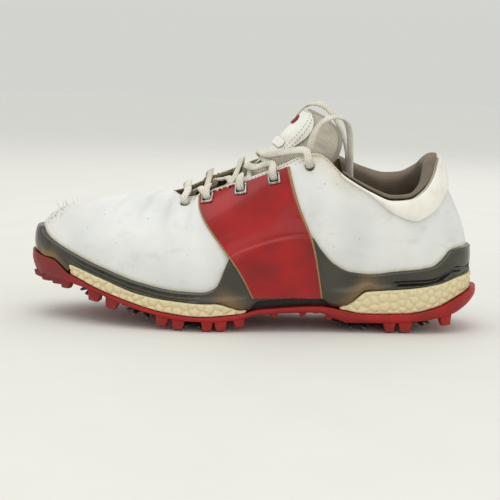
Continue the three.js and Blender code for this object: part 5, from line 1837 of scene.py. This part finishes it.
# ------------------------------------------------------------------ side panels
@dataclass
class SidePanel:
    """A broad patent panel with raw edges that carries three square eyelets."""

    left: Profile = Profile([(18, 0.505), (40, 0.482), (62, 0.455), (80, 0.425), (92, 0.405)])
    right: Profile = Profile([(18, 0.6), (40, 0.592), (62, 0.583), (85, 0.567), (112, 0.552)])
    margin: float = 3.0
    clearance: float = 0.9
    top_left: float = 0.41
    top_right: float = 0.556
    wide: float = 46.0
    bevel: float = 1.2
    columns: int = 90
    rows: int = 120

    def bottom(self, turn: float) -> float:
        """Height of the panel's lower end."""
        return SHELL_FRAME.bottom(LAST.station_of(abs(turn))) + 1.2

    def wing_crest(self, t: float) -> float:
        """The frame's highest lip near a turn."""
        return max(SHELL_FRAME.top(x) for x in steps(t - 0.018, t + 0.018, 4))

    def point(self, side: Side, k: float, row: float) -> Vector:
        """A point of the panel's inner face, as the solid has it, plus the panel's thickness."""
        top_turn = side.value * lerp(self.top_left, self.top_right, k)
        top_z = LAST.upper(top_turn, 1 - self.margin / 60).z
        z = lerp(self.bottom(side.value * 0.55), top_z, row)
        t = lerp(self.left(z), self.right(z), k)
        turn = side.value * lerp(t, lerp(self.top_left, self.top_right, k), row**3)
        height = min(z, LAST.top(turn).z - self.margin)
        crest = self.wing_crest(abs(turn)) + 1
        over = 1 - smoothstep(height, crest - 1, crest + 15)
        base = max(2 * LAST.gap, over * (SHELL_FRAME.outer(turn, height) + self.clearance))
        border = smoothstep(min(k, 1 - k) * self.wide, 0, self.bevel)
        return LAST.side_point(turn, height, base + EYELETS.panel * lerp(0.35, 1, border))

    def build(self) -> None:
        """Makes both panels."""
        for side in Side:
            bm = lattice(self.columns, self.rows, lambda u, v: self.point(side, u, v), self.wide, 90)
            face_out(bm, lambda f: Vector((0, side.value, 0)))
            u_layer, _ = shares(bm)
            for face in bm.faces:
                reach = sum(vert[u_layer] for vert in face.verts) / len(face.verts)
                face.material_index = 1 if min(reach, 1 - reach) * self.wide < self.bevel else 0
            self.open_holes(bm, side)
            node = f"saddle_panel_{side.name.lower()}"
            panel = Piece(f"{node}_patent", bm, [RED_PATENT, TAN_EDGE])
            panel.thicken(EYELETS.panel, 1).round_edges(0.22).done("red_gloss_panel", node)

    def open_holes(self, bm: BMesh, side: Side) -> None:
        """Opens the sheet under each square eyelet, whose flange covers the cut."""
        half = EYELETS.barrel / 2 + LAST.gap
        for k, turn in enumerate(EYELETS.turns):
            if EYELETS.is_punched(k):
                continue
            place, normal, up = EYELETS.spot(side.value * turn)
            across = up.cross(normal)
            inside = [face for face in bm.faces
                      if max(abs((face.calc_center_median() - place).dot(up)),
                             abs((face.calc_center_median() - place).dot(across))) < half]
            bmesh.ops.delete(bm, geom=inside, context="FACES")


# ------------------------------------------------------------------ soft filling
def inflate(piece: Piece, pressure: float, cap: float, slack: float = 0.03) -> Piece:
    """Fills a closed soft skin by cloth simulation.

    Places painted "pin" as 1 are sewn down and stay where they are.

    Args:
        piece: the closed skin, with its "pin" attribute.
        pressure: how hard the filling pushes.
        cap: the furthest that a point may move, in millimetres.
        slack: how much larger than its seat the cloth is cut.

    Returns:
        The piece, filled.
    """
    skin = piece.object
    held = skin.vertex_groups.new(name="pin")
    for i, value in enumerate(skin.data.attributes["pin"].data):
        held.add([i], value.value, "REPLACE")
    cloth = skin.modifiers.new("filling", "CLOTH")
    cloth.settings.quality = 5
    cloth.settings.mass = 0.15
    cloth.settings.use_pressure = True
    cloth.settings.uniform_pressure_force = pressure
    cloth.settings.effector_weights.gravity = 0
    cloth.settings.vertex_group_mass = "pin"
    cloth.settings.shrink_min = -slack
    cloth.settings.bending_stiffness = 0.2
    cloth.collision_settings.use_collision = False
    cloth.point_cache.frame_start, cloth.point_cache.frame_end = 1, 20
    scene = bpy.context.scene
    for step in range(1, 21):
        scene.frame_set(step)
    graph = bpy.context.evaluated_depsgraph_get()
    filled = [vert.co.copy() for vert in skin.evaluated_get(graph).data.vertices]
    skin.modifiers.remove(cloth)
    for vert, new in zip(skin.data.vertices, filled):
        move = new - vert.co
        if move.length > cap * MM:
            move *= cap * MM / move.length
        vert.co += move
    scene.frame_set(1)
    return piece


# ------------------------------------------------------------------ tongue
@dataclass
class Tongue:
    """The padded tongue: mesh-covered pad, bound edge, leather patch, plain label and lace keeper."""

    tuck: float = 9.0
    clearance: float = 5.3
    layer_gap: float = 0.5
    face_thickness: float = 1.0
    face: tuple[float, float, float, float] = (0.5, 0.985, 0.2, 0.8)
    label: tuple[float, float, float, float] = (0.72, 0.83, 0.41, 0.59)
    keeper: tuple[float, float, float, float] = (0.56, 0.61, 0.3, 0.7)
    under: tuple[float, ...] = (0.335, 0.375, 0.425, 0.475)
    free: tuple = (((-14, -24), (-33, -10), 20, 19), ((3, -17), (-24, 1), 18.5, 17.5),
                   ((15, -8), (-15, 12), 18, 17), ((20, 3), (-8.5, 19), 18, 17),
                   ((19, 13.5), (-4.5, 24), 16.5, 15.5), ((11, 21.5), (-2.5, 26.5), 12, 11))
    padding: Profile = Profile([(0, 2.4), (0.4, 3), (0.6, 6), (0.9, 4), (1, 3.2)])
    _rails: list = field(default_factory=list)
    _cache: dict = field(default_factory=dict)

    @property
    def instep(self) -> Vector:
        """The middle between the quarters' top corners."""
        ends = [LAST.top(side.value * LAST.corner_turn) for side in Side]
        return Vector((ends[0].x, 0, (ends[0].z + ends[1].z) / 2))

    def section_under(self, turn: float) -> list[Vector]:
        """The four handles of the tongue's section under the throat."""
        depth = -(LAST.skin + LAST.lining + LAST.gap + self.clearance)
        ends = []
        for side in Side:
            at = side.value * turn
            top = LAST.top(at)
            v = 1.0
            while (LAST.upper(at, v) - top).length < self.tuck:
                v -= 0.005
            start = LAST.skin_point(at, v, depth)
            ends.append((start, (LAST.skin_point(at, v + 0.02, depth) - start).normalized()))
        (near, near_climb), (far, far_climb) = ends
        third = (near - far).length * 0.24
        return [near, near + near_climb * third, far + far_climb * third, far]

    def section_free(self, edge: tuple, front: tuple, near: float, far: float) -> list[Vector]:
        """The four handles of a section of the part that stands up from the instep."""
        base = self.instep
        start = Vector((base.x + edge[0], -near, base.z + edge[1]))
        end = Vector((base.x + edge[0], far, base.z + edge[1]))
        middle = Vector((base.x + front[0], 0, base.z + front[1]))
        pull = (middle * 8 - start - end) / 6
        return [start, Vector((pull.x, -near, pull.z)), Vector((pull.x, far, pull.z)), end]

    def surface(self, a: float, b: float) -> Vector:
        """The tongue's front: a runs from the toe end to the top, b from the lateral edge across."""
        if not self._rails:
            sections = [self.section_under(turn) for turn in self.under]
            sections += [self.section_free(*row) for row in self.free]
            self._rails.extend(SmoothLine([s[corner] for s in sections]) for corner in range(4))
        a = clamp(a, 0, 1)
        if a not in self._cache:
            self._cache[a] = tuple(rail.at(a) for rail in self._rails)
        return bezier(*self._cache[a], b)

    def normal(self, a: float, b: float) -> Vector:
        """The tongue's outward normal."""
        d = LAST.probe
        low, high = clamp(a, d, 1 - d), clamp(b, d, 1 - d)
        along = self.surface(low + d, high) - self.surface(low - d, high)
        across = self.surface(low, high + d) - self.surface(low, high - d)
        return along.cross(across).normalized()

    def point(self, a: float, b: float, offset: float) -> Vector:
        """A point off the tongue's front."""
        return self.surface(a, b) + self.normal(a, b) * offset

    def pad(self) -> None:
        """The padded body with its quilted edge and bound rim."""

        def place(a: float, w: float) -> Vector:
            """A point of the pad's closed, rounded section."""
            angle = 2 * pi * w
            flat = copysign(abs(cos(angle)) ** 0.75, cos(angle))
            deep = copysign(abs(sin(angle)) ** 0.6, sin(angle))
            end = sqrt(max(0.0, 1 - smoothstep(a, 0.955, 1.0) ** 2)) * smoothstep(a, -0.03, 0.03)
            thick = self.padding(a) * max(end, 0.12)
            b = 0.5 - 0.5 * flat
            return self.point(a, b, -self.padding(a) / 2 + thick / 2 * deep)

        bm = lattice(110, 56, place, 205, 110)
        seal(bm)
        u_layer, v_layer = shares(bm)

        def pin(vert: BMVert) -> float:
            """Held under the throat, along the rim, and behind the leather patch."""
            a, w = vert[u_layer], vert[v_layer]
            rim = abs(cos(2 * pi * w)) > 0.93
            patched = w < 0.5 and abs(cos(2 * pi * w)) < 0.66
            return 1.0 if a < 0.42 or a > 0.97 or rim or patched else 0.0

        paint(bm, "pin", pin)
        pad = Piece("tongue_padding", bm, [TONGUE_MESH], body=Body.TONGUE.value)
        inflate(pad, 1.2, 1.6, 0.05).soften().done("tongue_mesh", "tongue_pad")

    def binding(self) -> None:
        """The tape sewn round the free edge."""
        route = [(a, 0.0) for a in steps(0.3, 0.985, 40)]
        route += [(1.0, b) for b in steps(0.04, 0.96, 14)]
        route += [(a, 1.0) for a in steps(0.985, 0.3, 40)]
        line = SmoothLine([self.point(a, b, -self.padding(a) / 2) for a, b in route])

        def place(u: float, w: float) -> Vector:
            """A point of the tape's rounded section."""
            middle = line.at(u)
            ahead = (line.at(u + 0.004) - line.at(u - 0.004)).normalized()
            a, b = route[round(u * (len(route) - 1))]
            up = self.normal(a, b)
            side = ahead.cross(up).normalized()
            up = side.cross(ahead)
            angle = 2 * pi * w
            thick = self.padding(a) / 2 * (0.45 if a > 0.97 else 0.55) + 0.5
            return middle + side * (1.7 * cos(angle)) + up * (thick * sin(angle))

        bm = lattice(260, 14, place, 260, 12)
        seal(bm)
        Piece("tongue_binding_tape", bm, [BINDING], body=Body.TONGUE.value).done("tongue_mesh")

    def sheet(self, zone: tuple, columns: int, rows: int, rise: Callable[[float, float], float],
              corner: float) -> BMesh:
        """A sheet laid on the tongue, with rounded corners.

        Args:
            zone: its low, high, left and right ends on the tongue.
            columns: faces along it.
            rows: faces across it.
            rise: its height for shares along and across.
            corner: how much the corners are rounded, as a share.

        Returns:
            The open sheet, facing out.
        """
        low, high, left, right = zone

        def place(u: float, w: float) -> Vector:
            """A point of the sheet."""
            x, y = 2 * u - 1, 2 * w - 1
            pinch = corner * (x * x * y * y)
            a = lerp(low, high, 0.5 + x / 2 * (1 - pinch * 0.5))
            b = lerp(left, right, 0.5 + y / 2 * (1 - pinch))
            return self.point(a, b, rise(u, w))

        bm = lattice(columns, rows, place, 90, 30)
        face_out(bm, lambda f: Vector((-1, 0, 1)))
        return bm

    def trim(self) -> None:
        """Leather patch, its stitches, the plain label and the lace keeper."""
        seat = self.layer_gap + self.face_thickness

        def crown(u: float, w: float) -> float:
            """The patch is sunk at its sewn edge and lifts slightly inside it."""
            edge = min(u, 1 - u, (w if w < 0.5 else 1 - w) * 0.8)
            return seat - 0.35 + 0.55 * smoothstep(edge, 0.0, 0.09)

        bm = self.sheet(self.face, 90, 50, crown, 0.28)
        paint(bm, "aged", lambda vert: 0.35 * smoothstep(smooth_noise(vert.co, 12, 4), 0.1, 0.6))
        patch = Piece("tongue_leather_patch", bm, [TONGUE_LEATHER, SKIN_EDGE], body=Body.TONGUE.value)
        patch.thicken(self.face_thickness, 1).done("white_leather", "tongue_face")
        bm = bmesh.new()
        sewing = Stitching(pitch=2.4, stitch=1.7)
        low, high, left, right = self.face
        for inner in (0.07, 0.13):
            a0, a1 = lerp(low, high, 0.03), lerp(low, high, 1 - inner)
            b0, b1 = lerp(left, right, inner), lerp(left, right, 1 - inner)
            route = [(a, b0) for a in steps(a0, a1 - 0.012, 50)]
            route += [(a1, b) for b in steps(b0 + 0.03, b1 - 0.03, 30)]
            route += [(a, b1) for a in steps(a1 - 0.012, a0, 50)]
            sewing.row(bm, [(self.point(a, b, seat + 0.12), self.normal(a, b)) for a, b in route])
        Piece("tongue_stitches", bm, [THREAD], body=Body.TONGUE.value).done("white_leather")
        top = seat + self.layer_gap + 0.6
        bm = self.sheet(self.label, 26, 20, lambda u, w: top - 0.25 * (
            1 - smoothstep(min(u, 1 - u, w, 1 - w), 0, 0.08)),
                        0.2)
        label = Piece("tongue_plain_label", bm, [LABEL], body=Body.TONGUE.value)
        label.thicken(0.6).done("red_label", "tongue_label")
        top = seat + self.layer_gap + 1.2
        bm = self.sheet(self.keeper, 10, 40, lambda u, w: top - 0.3 * (
            1 - smoothstep(min(w, 1 - w), 0.0, 0.12)), 0.1)
        keeper = Piece("lace_keeper_strap", bm, [TONGUE_LEATHER, SKIN_EDGE], body=Body.TONGUE.value)
        keeper.thicken(0.8, 1).round_edges(0.2).done("white_leather", "lace_keeper")

    def build(self) -> None:
        """Makes the whole tongue."""
        self.pad()
        self.binding()
        self.trim()


TONGUE = Tongue()


# ------------------------------------------------------------------ lace
@dataclass
class LacePoint:
    """A point that the lace passes, with the way its flat face looks there, if that is known."""

    place: Vector
    face: Optional[Vector] = None


@dataclass
class Lace:
    """One flat lace: criss-cross from a bar at the toe, both ends looped over into the shoe."""

    diameter: float = 3.4
    width: float = 5.2
    depth: float = 2.1
    aglet_length: float = 20.0
    aglet_radius: float = 2.3
    shares: tuple[float, ...] = (0.133, 0.228, 0.345, 0.44, 0.52)
    lateral_free: tuple = (
        (35.2, -24.4, 113), (35.6, -25, 121), (36.4, -26, 127), (38.5, -27, 133.5), (42, -26, 139.3),
        (47, -24, 142.8), (52, -21, 144), (57, -17, 143), (60.6, -13.5, 140), (62.6, -11, 135),
        (63.6, -9.6, 128), (64.2, -9, 118), (65, -9, 104), (66, -9.4, 88), (67.5, -10.4, 70),
        (70, -11.6, 54), (75, -13, 43), (83, -14, 38.6), (93, -14, 39), (101, -13.6, 40.3))
    medial_free: tuple = (
        (35, 22.4, 115), (33.4, 22.8, 123), (30, 23.4, 132.5), (28, 19.6, 141), (30.6, 12.6, 147.6),
        (36, 6, 151.4), (41.6, 0, 152.2), (47, -3, 149.8), (51.6, -4, 145), (55.4, -4, 139),
        (58.6, -3.6, 132), (61, -3, 124), (62.4, -2.4, 114), (63.4, -2, 98), (64.6, -2, 78),
        (67, -2, 58), (72, 0.4, 45.4), (80, 4, 38.9), (90, 7.6, 39), (99, 9.6, 40.1))
    drawn_at: float = 36.07
    samples: int = 14

    @property
    def radius(self) -> float:
        """Half the lace as the solids have it."""
        return self.diameter / 2

    def eye(self, side: int, k: int) -> dict:
        """A lace hole and what lies round it."""
        turn = side * EYELETS.turns[k]
        place, normal, up = EYELETS.spot(turn)
        return {"place": place, "normal": normal, "up": up, "side": side, "turn": turn,
                "share": self.shares[k]}

    def off_hole(self, eye: dict, out: float, up: float = 0.0) -> Vector:
        """A point off a hole's middle."""
        return eye["place"] + eye["normal"] * out + eye["up"] * up

    def off_edge(self, eye: dict, out: float, past: float = 0.0) -> Vector:
        """A point off the throat edge beside a hole."""
        return LAST.skin_point(eye["turn"], 0.995, out) + eye["up"] * past

    @property
    def over_skin(self) -> float:
        """Height of the lace where it lies on an eyelet."""
        return EYELETS.seat + EYELETS.flange + self.radius + 2 * LAST.gap

    @property
    def under_skin(self) -> float:
        """Depth of the lace where it lies under the lining."""
        return LAST.skin + LAST.lining + LAST.layer_gap + self.radius + 3 * LAST.gap

    @property
    def over_edge(self) -> float:
        """Height of the lace where it passes over the throat edge."""
        return self.radius + 6 * LAST.gap

    def crossing(self, start: dict, end: dict) -> list[LacePoint]:
        """Out from under one edge, over the tongue, over the other edge and down into the next hole."""
        on = self.radius + 3 * LAST.gap
        over = on if start["side"] < 0 else on + self.diameter + LAST.gap
        half = lerp(on, over, 0.5)
        points = [LacePoint(self.off_hole(start, -self.under_skin, 2.5), start["normal"] + start["up"] * 0.4),
                  LacePoint(self.off_edge(start, -self.under_skin, 3), start["normal"])]
        for share, height in ((0.3, half), (0.5, over), (0.7, half + 1)):
            a = lerp(start["share"], end["share"], share)
            b = share if start["side"] < 0 else 1 - share
            points.append(LacePoint(TONGUE.point(a, b, height), TONGUE.normal(a, b)))
        normal, up = end["normal"], end["up"]
        return points + [LacePoint(self.off_edge(end, self.over_edge, 1.6), normal),
                         LacePoint(self.off_hole(end, self.over_skin + LAST.gap, 3.4), normal),
                         LacePoint(self.off_hole(end, self.over_skin - self.radius, 0.2), normal - up),
                         LacePoint(self.off_hole(end, 0), up)]

    def threaded_half(self, side: int) -> list[LacePoint]:
        """Four crossings from the toe pair to the top pair."""
        points = []
        for k in range(len(EYELETS.turns) - 1):
            here = side if k % 2 == 0 else -side
            points += self.crossing(self.eye(here, k), self.eye(-here, k + 1))
        return points

    def toe_bar(self) -> list[LacePoint]:
        """The straight bar over the toe pair."""
        near, far = self.eye(-1, 0), self.eye(1, 0)

        def half(eye: dict) -> list[LacePoint]:
            """Out of the hole and up to the edge."""
            return [LacePoint(self.off_hole(eye, 0), eye["up"]),
                    LacePoint(self.off_hole(eye, self.over_skin - self.radius, 1), eye["normal"] - eye["up"]),
                    LacePoint(self.off_edge(eye, self.over_edge), eye["normal"])]

        middle = self.off_edge(near, self.over_edge).lerp(self.off_edge(far, self.over_edge), 0.5)
        middle.z += 0.8
        return half(near) + [LacePoint(middle, near["normal"] + far["normal"])] + half(far)[::-1]

    def free_run(self, points: Sequence[tuple]) -> list[LacePoint]:
        """A free end; its flat face looks along the bend wherever it bends enough."""
        offset = TONGUE.instep.x - self.drawn_at
        places = [Vector((x + offset, y, z)) for x, y, z in points]
        run = [LacePoint(p) for p in places]
        for i in range(1, len(places) - 1):
            before, after = places[i] - places[i - 1], places[i + 1] - places[i]
            bend = after.normalized() - before.normalized()
            if bend.length > 0.22:
                run[i].face = bend.normalized()
        return run

    def parts(self) -> list[list[LacePoint]]:
        """The lateral free end from its tip, the threaded middle, and the medial free end."""
        def tail(side: int) -> list[LacePoint]:
            """The short step behind the top hole."""
            eye = self.eye(side, len(EYELETS.turns) - 1)
            return [LacePoint(self.off_hole(eye, -self.under_skin, 1.5), eye["normal"] + eye["up"])]

        threaded = tail(-1) + self.threaded_half(-1)[::-1] + self.toe_bar() + self.threaded_half(1) + tail(1)
        return [self.free_run(self.lateral_free)[::-1], threaded, self.free_run(self.medial_free)]

    def frames(self, points: list[LacePoint]) -> list[tuple[Vector, Vector, Vector, float]]:
        """Place, tangent, flat-face normal and length so far, at close steps along the lace."""
        line = SmoothLine([p.place for p in points])
        total = (len(points) - 1) * self.samples
        places = [line.at(i / total) for i in range(total + 1)]
        ways = [(places[min(i + 1, total)] - places[max(i - 1, 0)]).normalized() for i in range(total + 1)]
        face = ways[0].orthogonal().normalized()
        carried, lengths, run = [face], [0.0], 0.0
        for i in range(1, total + 1):
            run += (places[i] - places[i - 1]).length
            face = ways[i - 1].rotation_difference(ways[i]) @ face
            face = (face - ways[i] * face.dot(ways[i])).normalized()
            carried.append(face)
            lengths.append(run)
        knots: list[tuple[float, float]] = []
        for k, point in enumerate(points):
            if point.face is None:
                continue
            i = k * self.samples
            want = point.face - ways[i] * point.face.dot(ways[i])
            if want.length < 0.3 * point.face.length:
                continue
            turn = math.atan2(carried[i].cross(want).dot(ways[i]), carried[i].dot(want))
            near = knots[-1][1] if knots else turn
            turn = near + (turn - near + pi / 2) % pi - pi / 2
            knots.append((lengths[i], turn))
        twist = Profile([(knots[0][0] - 1, knots[0][1])] + knots) if knots else Profile([
            (0, 0), (1, 0)])
        return [(places[i], ways[i], Matrix.Rotation(twist(lengths[i]), 3, ways[i]) @ carried[i], lengths[i])
                for i in range(total + 1)]

    def ribbon(self, frames: list, start: float, end: float) -> tuple[BMesh, list[Vector]]:
        """A flat tube along a stretch of the lace.

        Args:
            frames: the lace's places and directions.
            start: length along the lace where the stretch begins.
            end: and where it ends.

        Returns:
            The closed mesh and the points that it follows.
        """
        lengths = [f[3] for f in frames]
        count = max(8, round((end - start) / 1.4))
        around = 20
        rings = []
        for reach in steps(start, end, count):
            i = int(clamp(bisect.bisect_right(lengths, reach) - 1, 0, len(lengths) - 2))
            k = clamp((reach - lengths[i]) / max(lengths[i + 1] - lengths[i], 1e-9), 0, 1)
            rings.append([frames[i][n].lerp(frames[i + 1][n], k) for n in range(3)] + [reach])

        def place(u: float, w: float) -> Vector:
            """A point of the flat tube."""
            middle, way, face, reach = rings[round(u * count)]
            side = way.cross(face).normalized()
            angle = 2 * pi * w
            flat = copysign(abs(cos(angle)) ** 0.8, cos(angle))
            plump = 1 + 0.08 * smooth_noise(Vector((reach, 0, 0)), 7, 4)
            return middle + side * (self.width / 2 * flat) + face.normalized() * (
                self.depth / 2 * plump * sin(angle))

        bm = lattice(count, around, place, end - start, 13)
        seal(bm)
        return bm, [ring[0] for ring in rings]

    def aglet(self, side: Side, tip: Vector, way: Vector, face: Vector) -> bpy.types.Object:
        """The moulded tip on one end."""
        across = way.cross(face).normalized()
        start = tip + way * LAST.gap

        def place(u: float, w: float) -> Vector:
            """A point of the tip: flat like the lace at first, then round, then closed."""
            end = max(sqrt(max(0.0, 1 - smoothstep(u, 0.9, 1.0) ** 2)), 0.25)
            grown = smoothstep(u, 0, 0.3)
            wide = lerp(self.width / 2, self.aglet_radius * 0.86, grown) * end
            deep = lerp(self.depth / 2 + 0.25, self.aglet_radius * 0.8, grown) * end
            crimp = 1 - 0.06 * hump(u, 0.12, 0.03) - 0.06 * hump(u, 0.2, 0.03)
            angle = 2 * pi * w
            middle = start + way * (self.aglet_length * u)
            return middle + across * (wide * crimp * cos(angle)) + face * (deep * crimp * sin(angle))

        bm = lattice(60, 24, place)
        seal(bm)
        name = f"aglet_{side.name.lower()}"
        return Piece(f"{name}_tip", bm, [TIP_FILM]).done("aglet_plastic", name)

    def build(self) -> None:
        """Makes the threaded lace, both free ends and their tips."""
        parts = self.parts()
        frames = self.frames([point for part in parts for point in part])
        first = frames[len(parts[0]) * self.samples][3]
        last = frames[(len(parts[0]) + len(parts[1]) - 1) * self.samples][3]
        whole = frames[-1][3]
        space = 2.5 * LAST.gap
        bm, _ = self.ribbon(frames, first, last)
        Piece("lace_threaded_cotton", bm, [COTTON]).done("cotton_lace", "lace_threaded")
        ends = ((Side.LATERAL, 0.0, first - space, frames[0], -1),
                (Side.MEDIAL, last + space, whole, frames[-1], 1))
        for side, start, end, (tip, way, face, _), forward in ends:
            bm, route = self.ribbon(frames, start, end)
            name = f"lace_end_{side.name.lower()}"
            lace = Piece(f"{name}_cotton", bm, [COTTON]).done("cotton_lace", name)
            aglet = self.aglet(side, tip, way * forward, face)
            hole = self.eye(side.value, len(EYELETS.turns) - 1)["place"]
            [tuple((p + Piece.shift) * MM) for p in route]
            log.info("%s: %.0f mm", name, end - start)


# ------------------------------------------------------------------ inside
@dataclass
class Footbed:
    """The textile-covered sockliner and the hidden board and shank under it."""

    sock: float = 4.0

    def build(self) -> None:
        """Makes the sockliner and dresses the rest."""

        def place(u: float, w: float) -> Vector:
            """A point of the sockliner: from the middle of its underside round the edge to its top."""
            turn = wrap_turn(-1 + 2 * u)
            t = clamp(abs(turn), LAST.turn_of(0.05), LAST.turn_of(0.96))
            k = w * 2 if w < 0.5 else 2 - 2 * w
            inset = LAST.inset_at(t) - LAST.lining_inside(t) + 2 * LAST.gap
            round_in = 0.8 * (1 - k) if k > 0.9 else 0.0
            p = LAST.edge(copysign(t, turn), inset + round_in, 0)
            own = clamp(LAST.station_of(t), 0.12, 0.9)
            spine = Vector((LAST.x_of(own), LAST.centre_shift(own), 0))
            p = spine.lerp(p, k)
            s = LAST.station_at(p.x)
            low = LAST.feather_height(s) + LAST.gap
            crown = sqrt(max(0.0, 1 - max(0.0, (k - 0.93) / 0.07) ** 2))
            p.z = low if w < 0.5 else low + self.sock * crown
            return p

        bm = lattice(160, 40, place)
        seal(bm)
        chart = bm.loops.layers.uv["UVMap"]
        for face in bm.faces:
            for loop in face.loops:
                loop[chart].uv = loop.vert.co.xy
        Piece("sockliner_textile", bm, [SOCK]).done("sock_textile", "sockliner")
        dress_node("insole_board", INSOLE_BOARD)
        dress_node("shank_plate", SHANK_PLASTIC)


# ------------------------------------------------------------------ studio
@dataclass
class Studio:
    """Pale floor, soft lights and the camera."""

    distance: float = 0.9
    elevation: float = 8.0
    lens: float = 92.6
    roll: float = 0.03
    aim: Vector = field(default_factory=lambda: Vector((-0.0026, -0.0017, 0.0491)))
    floor_size: float = 14.0

    def camera(self) -> None:
        """A long lens looking straight at the lateral side, slightly from above."""
        tilt = radians(self.elevation)
        way = Vector((0, cos(tilt), -sin(tilt)))
        data = bpy.data.cameras.new("camera")
        data.lens, data.sensor_width = self.lens, 36.0
        data.clip_start, data.clip_end = 0.05, 60
        camera = bpy.data.objects.new("camera", data)
        camera.location = self.aim - way * self.distance
        camera.rotation_mode = "QUATERNION"
        rolled = Matrix.Rotation(self.roll, 3, "Z").to_quaternion()
        camera.rotation_quaternion = way.to_track_quat("-Z", "Y") @ rolled
        bpy.context.scene.collection.objects.link(camera)
        bpy.context.scene.camera = camera

    def floor(self) -> None:
        """A wide painted floor."""
        bm = bmesh.new()
        bmesh.ops.create_grid(bm, x_segments=2, y_segments=2, size=self.floor_size / 2)
        mesh = bpy.data.meshes.new("floor")
        bm.to_mesh(mesh)
        bm.free()
        mesh.materials.append(FLOOR_PAINT.material())
        floor = bpy.data.objects.new("floor", mesh)
        bpy.context.scene.collection.objects.link(floor)

    def light(self, name: str, place: tuple, size: float, power: float, colour: str = "ffffff") -> None:
        """A square soft light aimed at the shoe."""
        data = bpy.data.lights.new(name, "AREA")
        data.energy, data.size = power, size
        data.color = linear(colour)[:3]
        lamp = bpy.data.objects.new(name, data)
        lamp.location = place
        way = Vector((0, 0, 0.06)) - Vector(place)
        lamp.rotation_mode = "QUATERNION"
        lamp.rotation_quaternion = way.to_track_quat("-Z", "Y")
        bpy.context.scene.collection.objects.link(lamp)

    def sky(self) -> None:
        """Even pale surroundings, a little darker low down."""
        world = bpy.data.worlds.new("surroundings")
        bpy.context.scene.world = world
        world.use_nodes = True
        tree = world.node_tree
        tree.nodes.clear()
        way = tree.nodes.new("ShaderNodeTexCoord")
        split = tree.nodes.new("ShaderNodeSeparateXYZ")
        ramp = tree.nodes.new("ShaderNodeMapRange")
        mix = tree.nodes.new("ShaderNodeMix")
        back = tree.nodes.new("ShaderNodeBackground")
        out = tree.nodes.new("ShaderNodeOutputWorld")
        mix.data_type = "RGBA"
        mix.inputs[6].default_value = (0.98, 0.99, 0.95, 1.0)
        mix.inputs[7].default_value = (1.25, 1.26, 1.24, 1.0)
        ramp.inputs["From Min"].default_value, ramp.inputs["From Max"].default_value = 0.04, 0.4
        back.inputs["Strength"].default_value = 0.66
        for source, target in ((way.outputs["Generated"], split.inputs[0]),
                               (split.outputs[2], ramp.inputs[0]), (ramp.outputs[0], mix.inputs[0]), (mix.outputs[2], back.inputs[0]),
                               (back.outputs[0], out.inputs[0])):
            tree.links.new(source, target)

    def build(self) -> None:
        """Sets up floor, lights, surroundings, camera and plain tone mapping."""
        self.camera()
        self.floor()
        self.sky()
        self.light("overhead_softbox", (-0.25, -0.35, 1.5), 1.3, 6.5)
        self.light("front_fill", (0.5, -1.7, 0.8), 1.2, 2.6)
        self.light("rear_strip", (0.3, 1.3, 1.1), 0.9, 3)
        bpy.context.scene.view_settings.view_transform = "Standard"


# ------------------------------------------------------------------ assembly
def main() -> None:
    """Builds the shoe from the camera outwards."""
    logging.basicConfig(level=logging.INFO, format="%(name)s: %(message)s")
    Piece.shift = packed_shift()
    Studio().build()
    Lace().build()
    TONGUE.build()
    Collar().build()
    Upper().build()
    SHELL_FRAME.build()
    BeadBlock("forefoot_bead_foam", "forefoot_midsole", 0.098, LAST.foam_rear, LAST.fore_foam_top).build()
    BeadBlock("heel_bead_foam", "heel_midsole", LAST.heel_foam_front, 0.994, LAST.heel_foam_top, bead=6.4,
              swell=1.5, wall_rows=30, seed=8).build()
    Outsole().build()
    SidePanel().build()
    EYELETS.build()
    Footbed().build()
    Cleats().build()


if __name__ == "__main__":
    main()
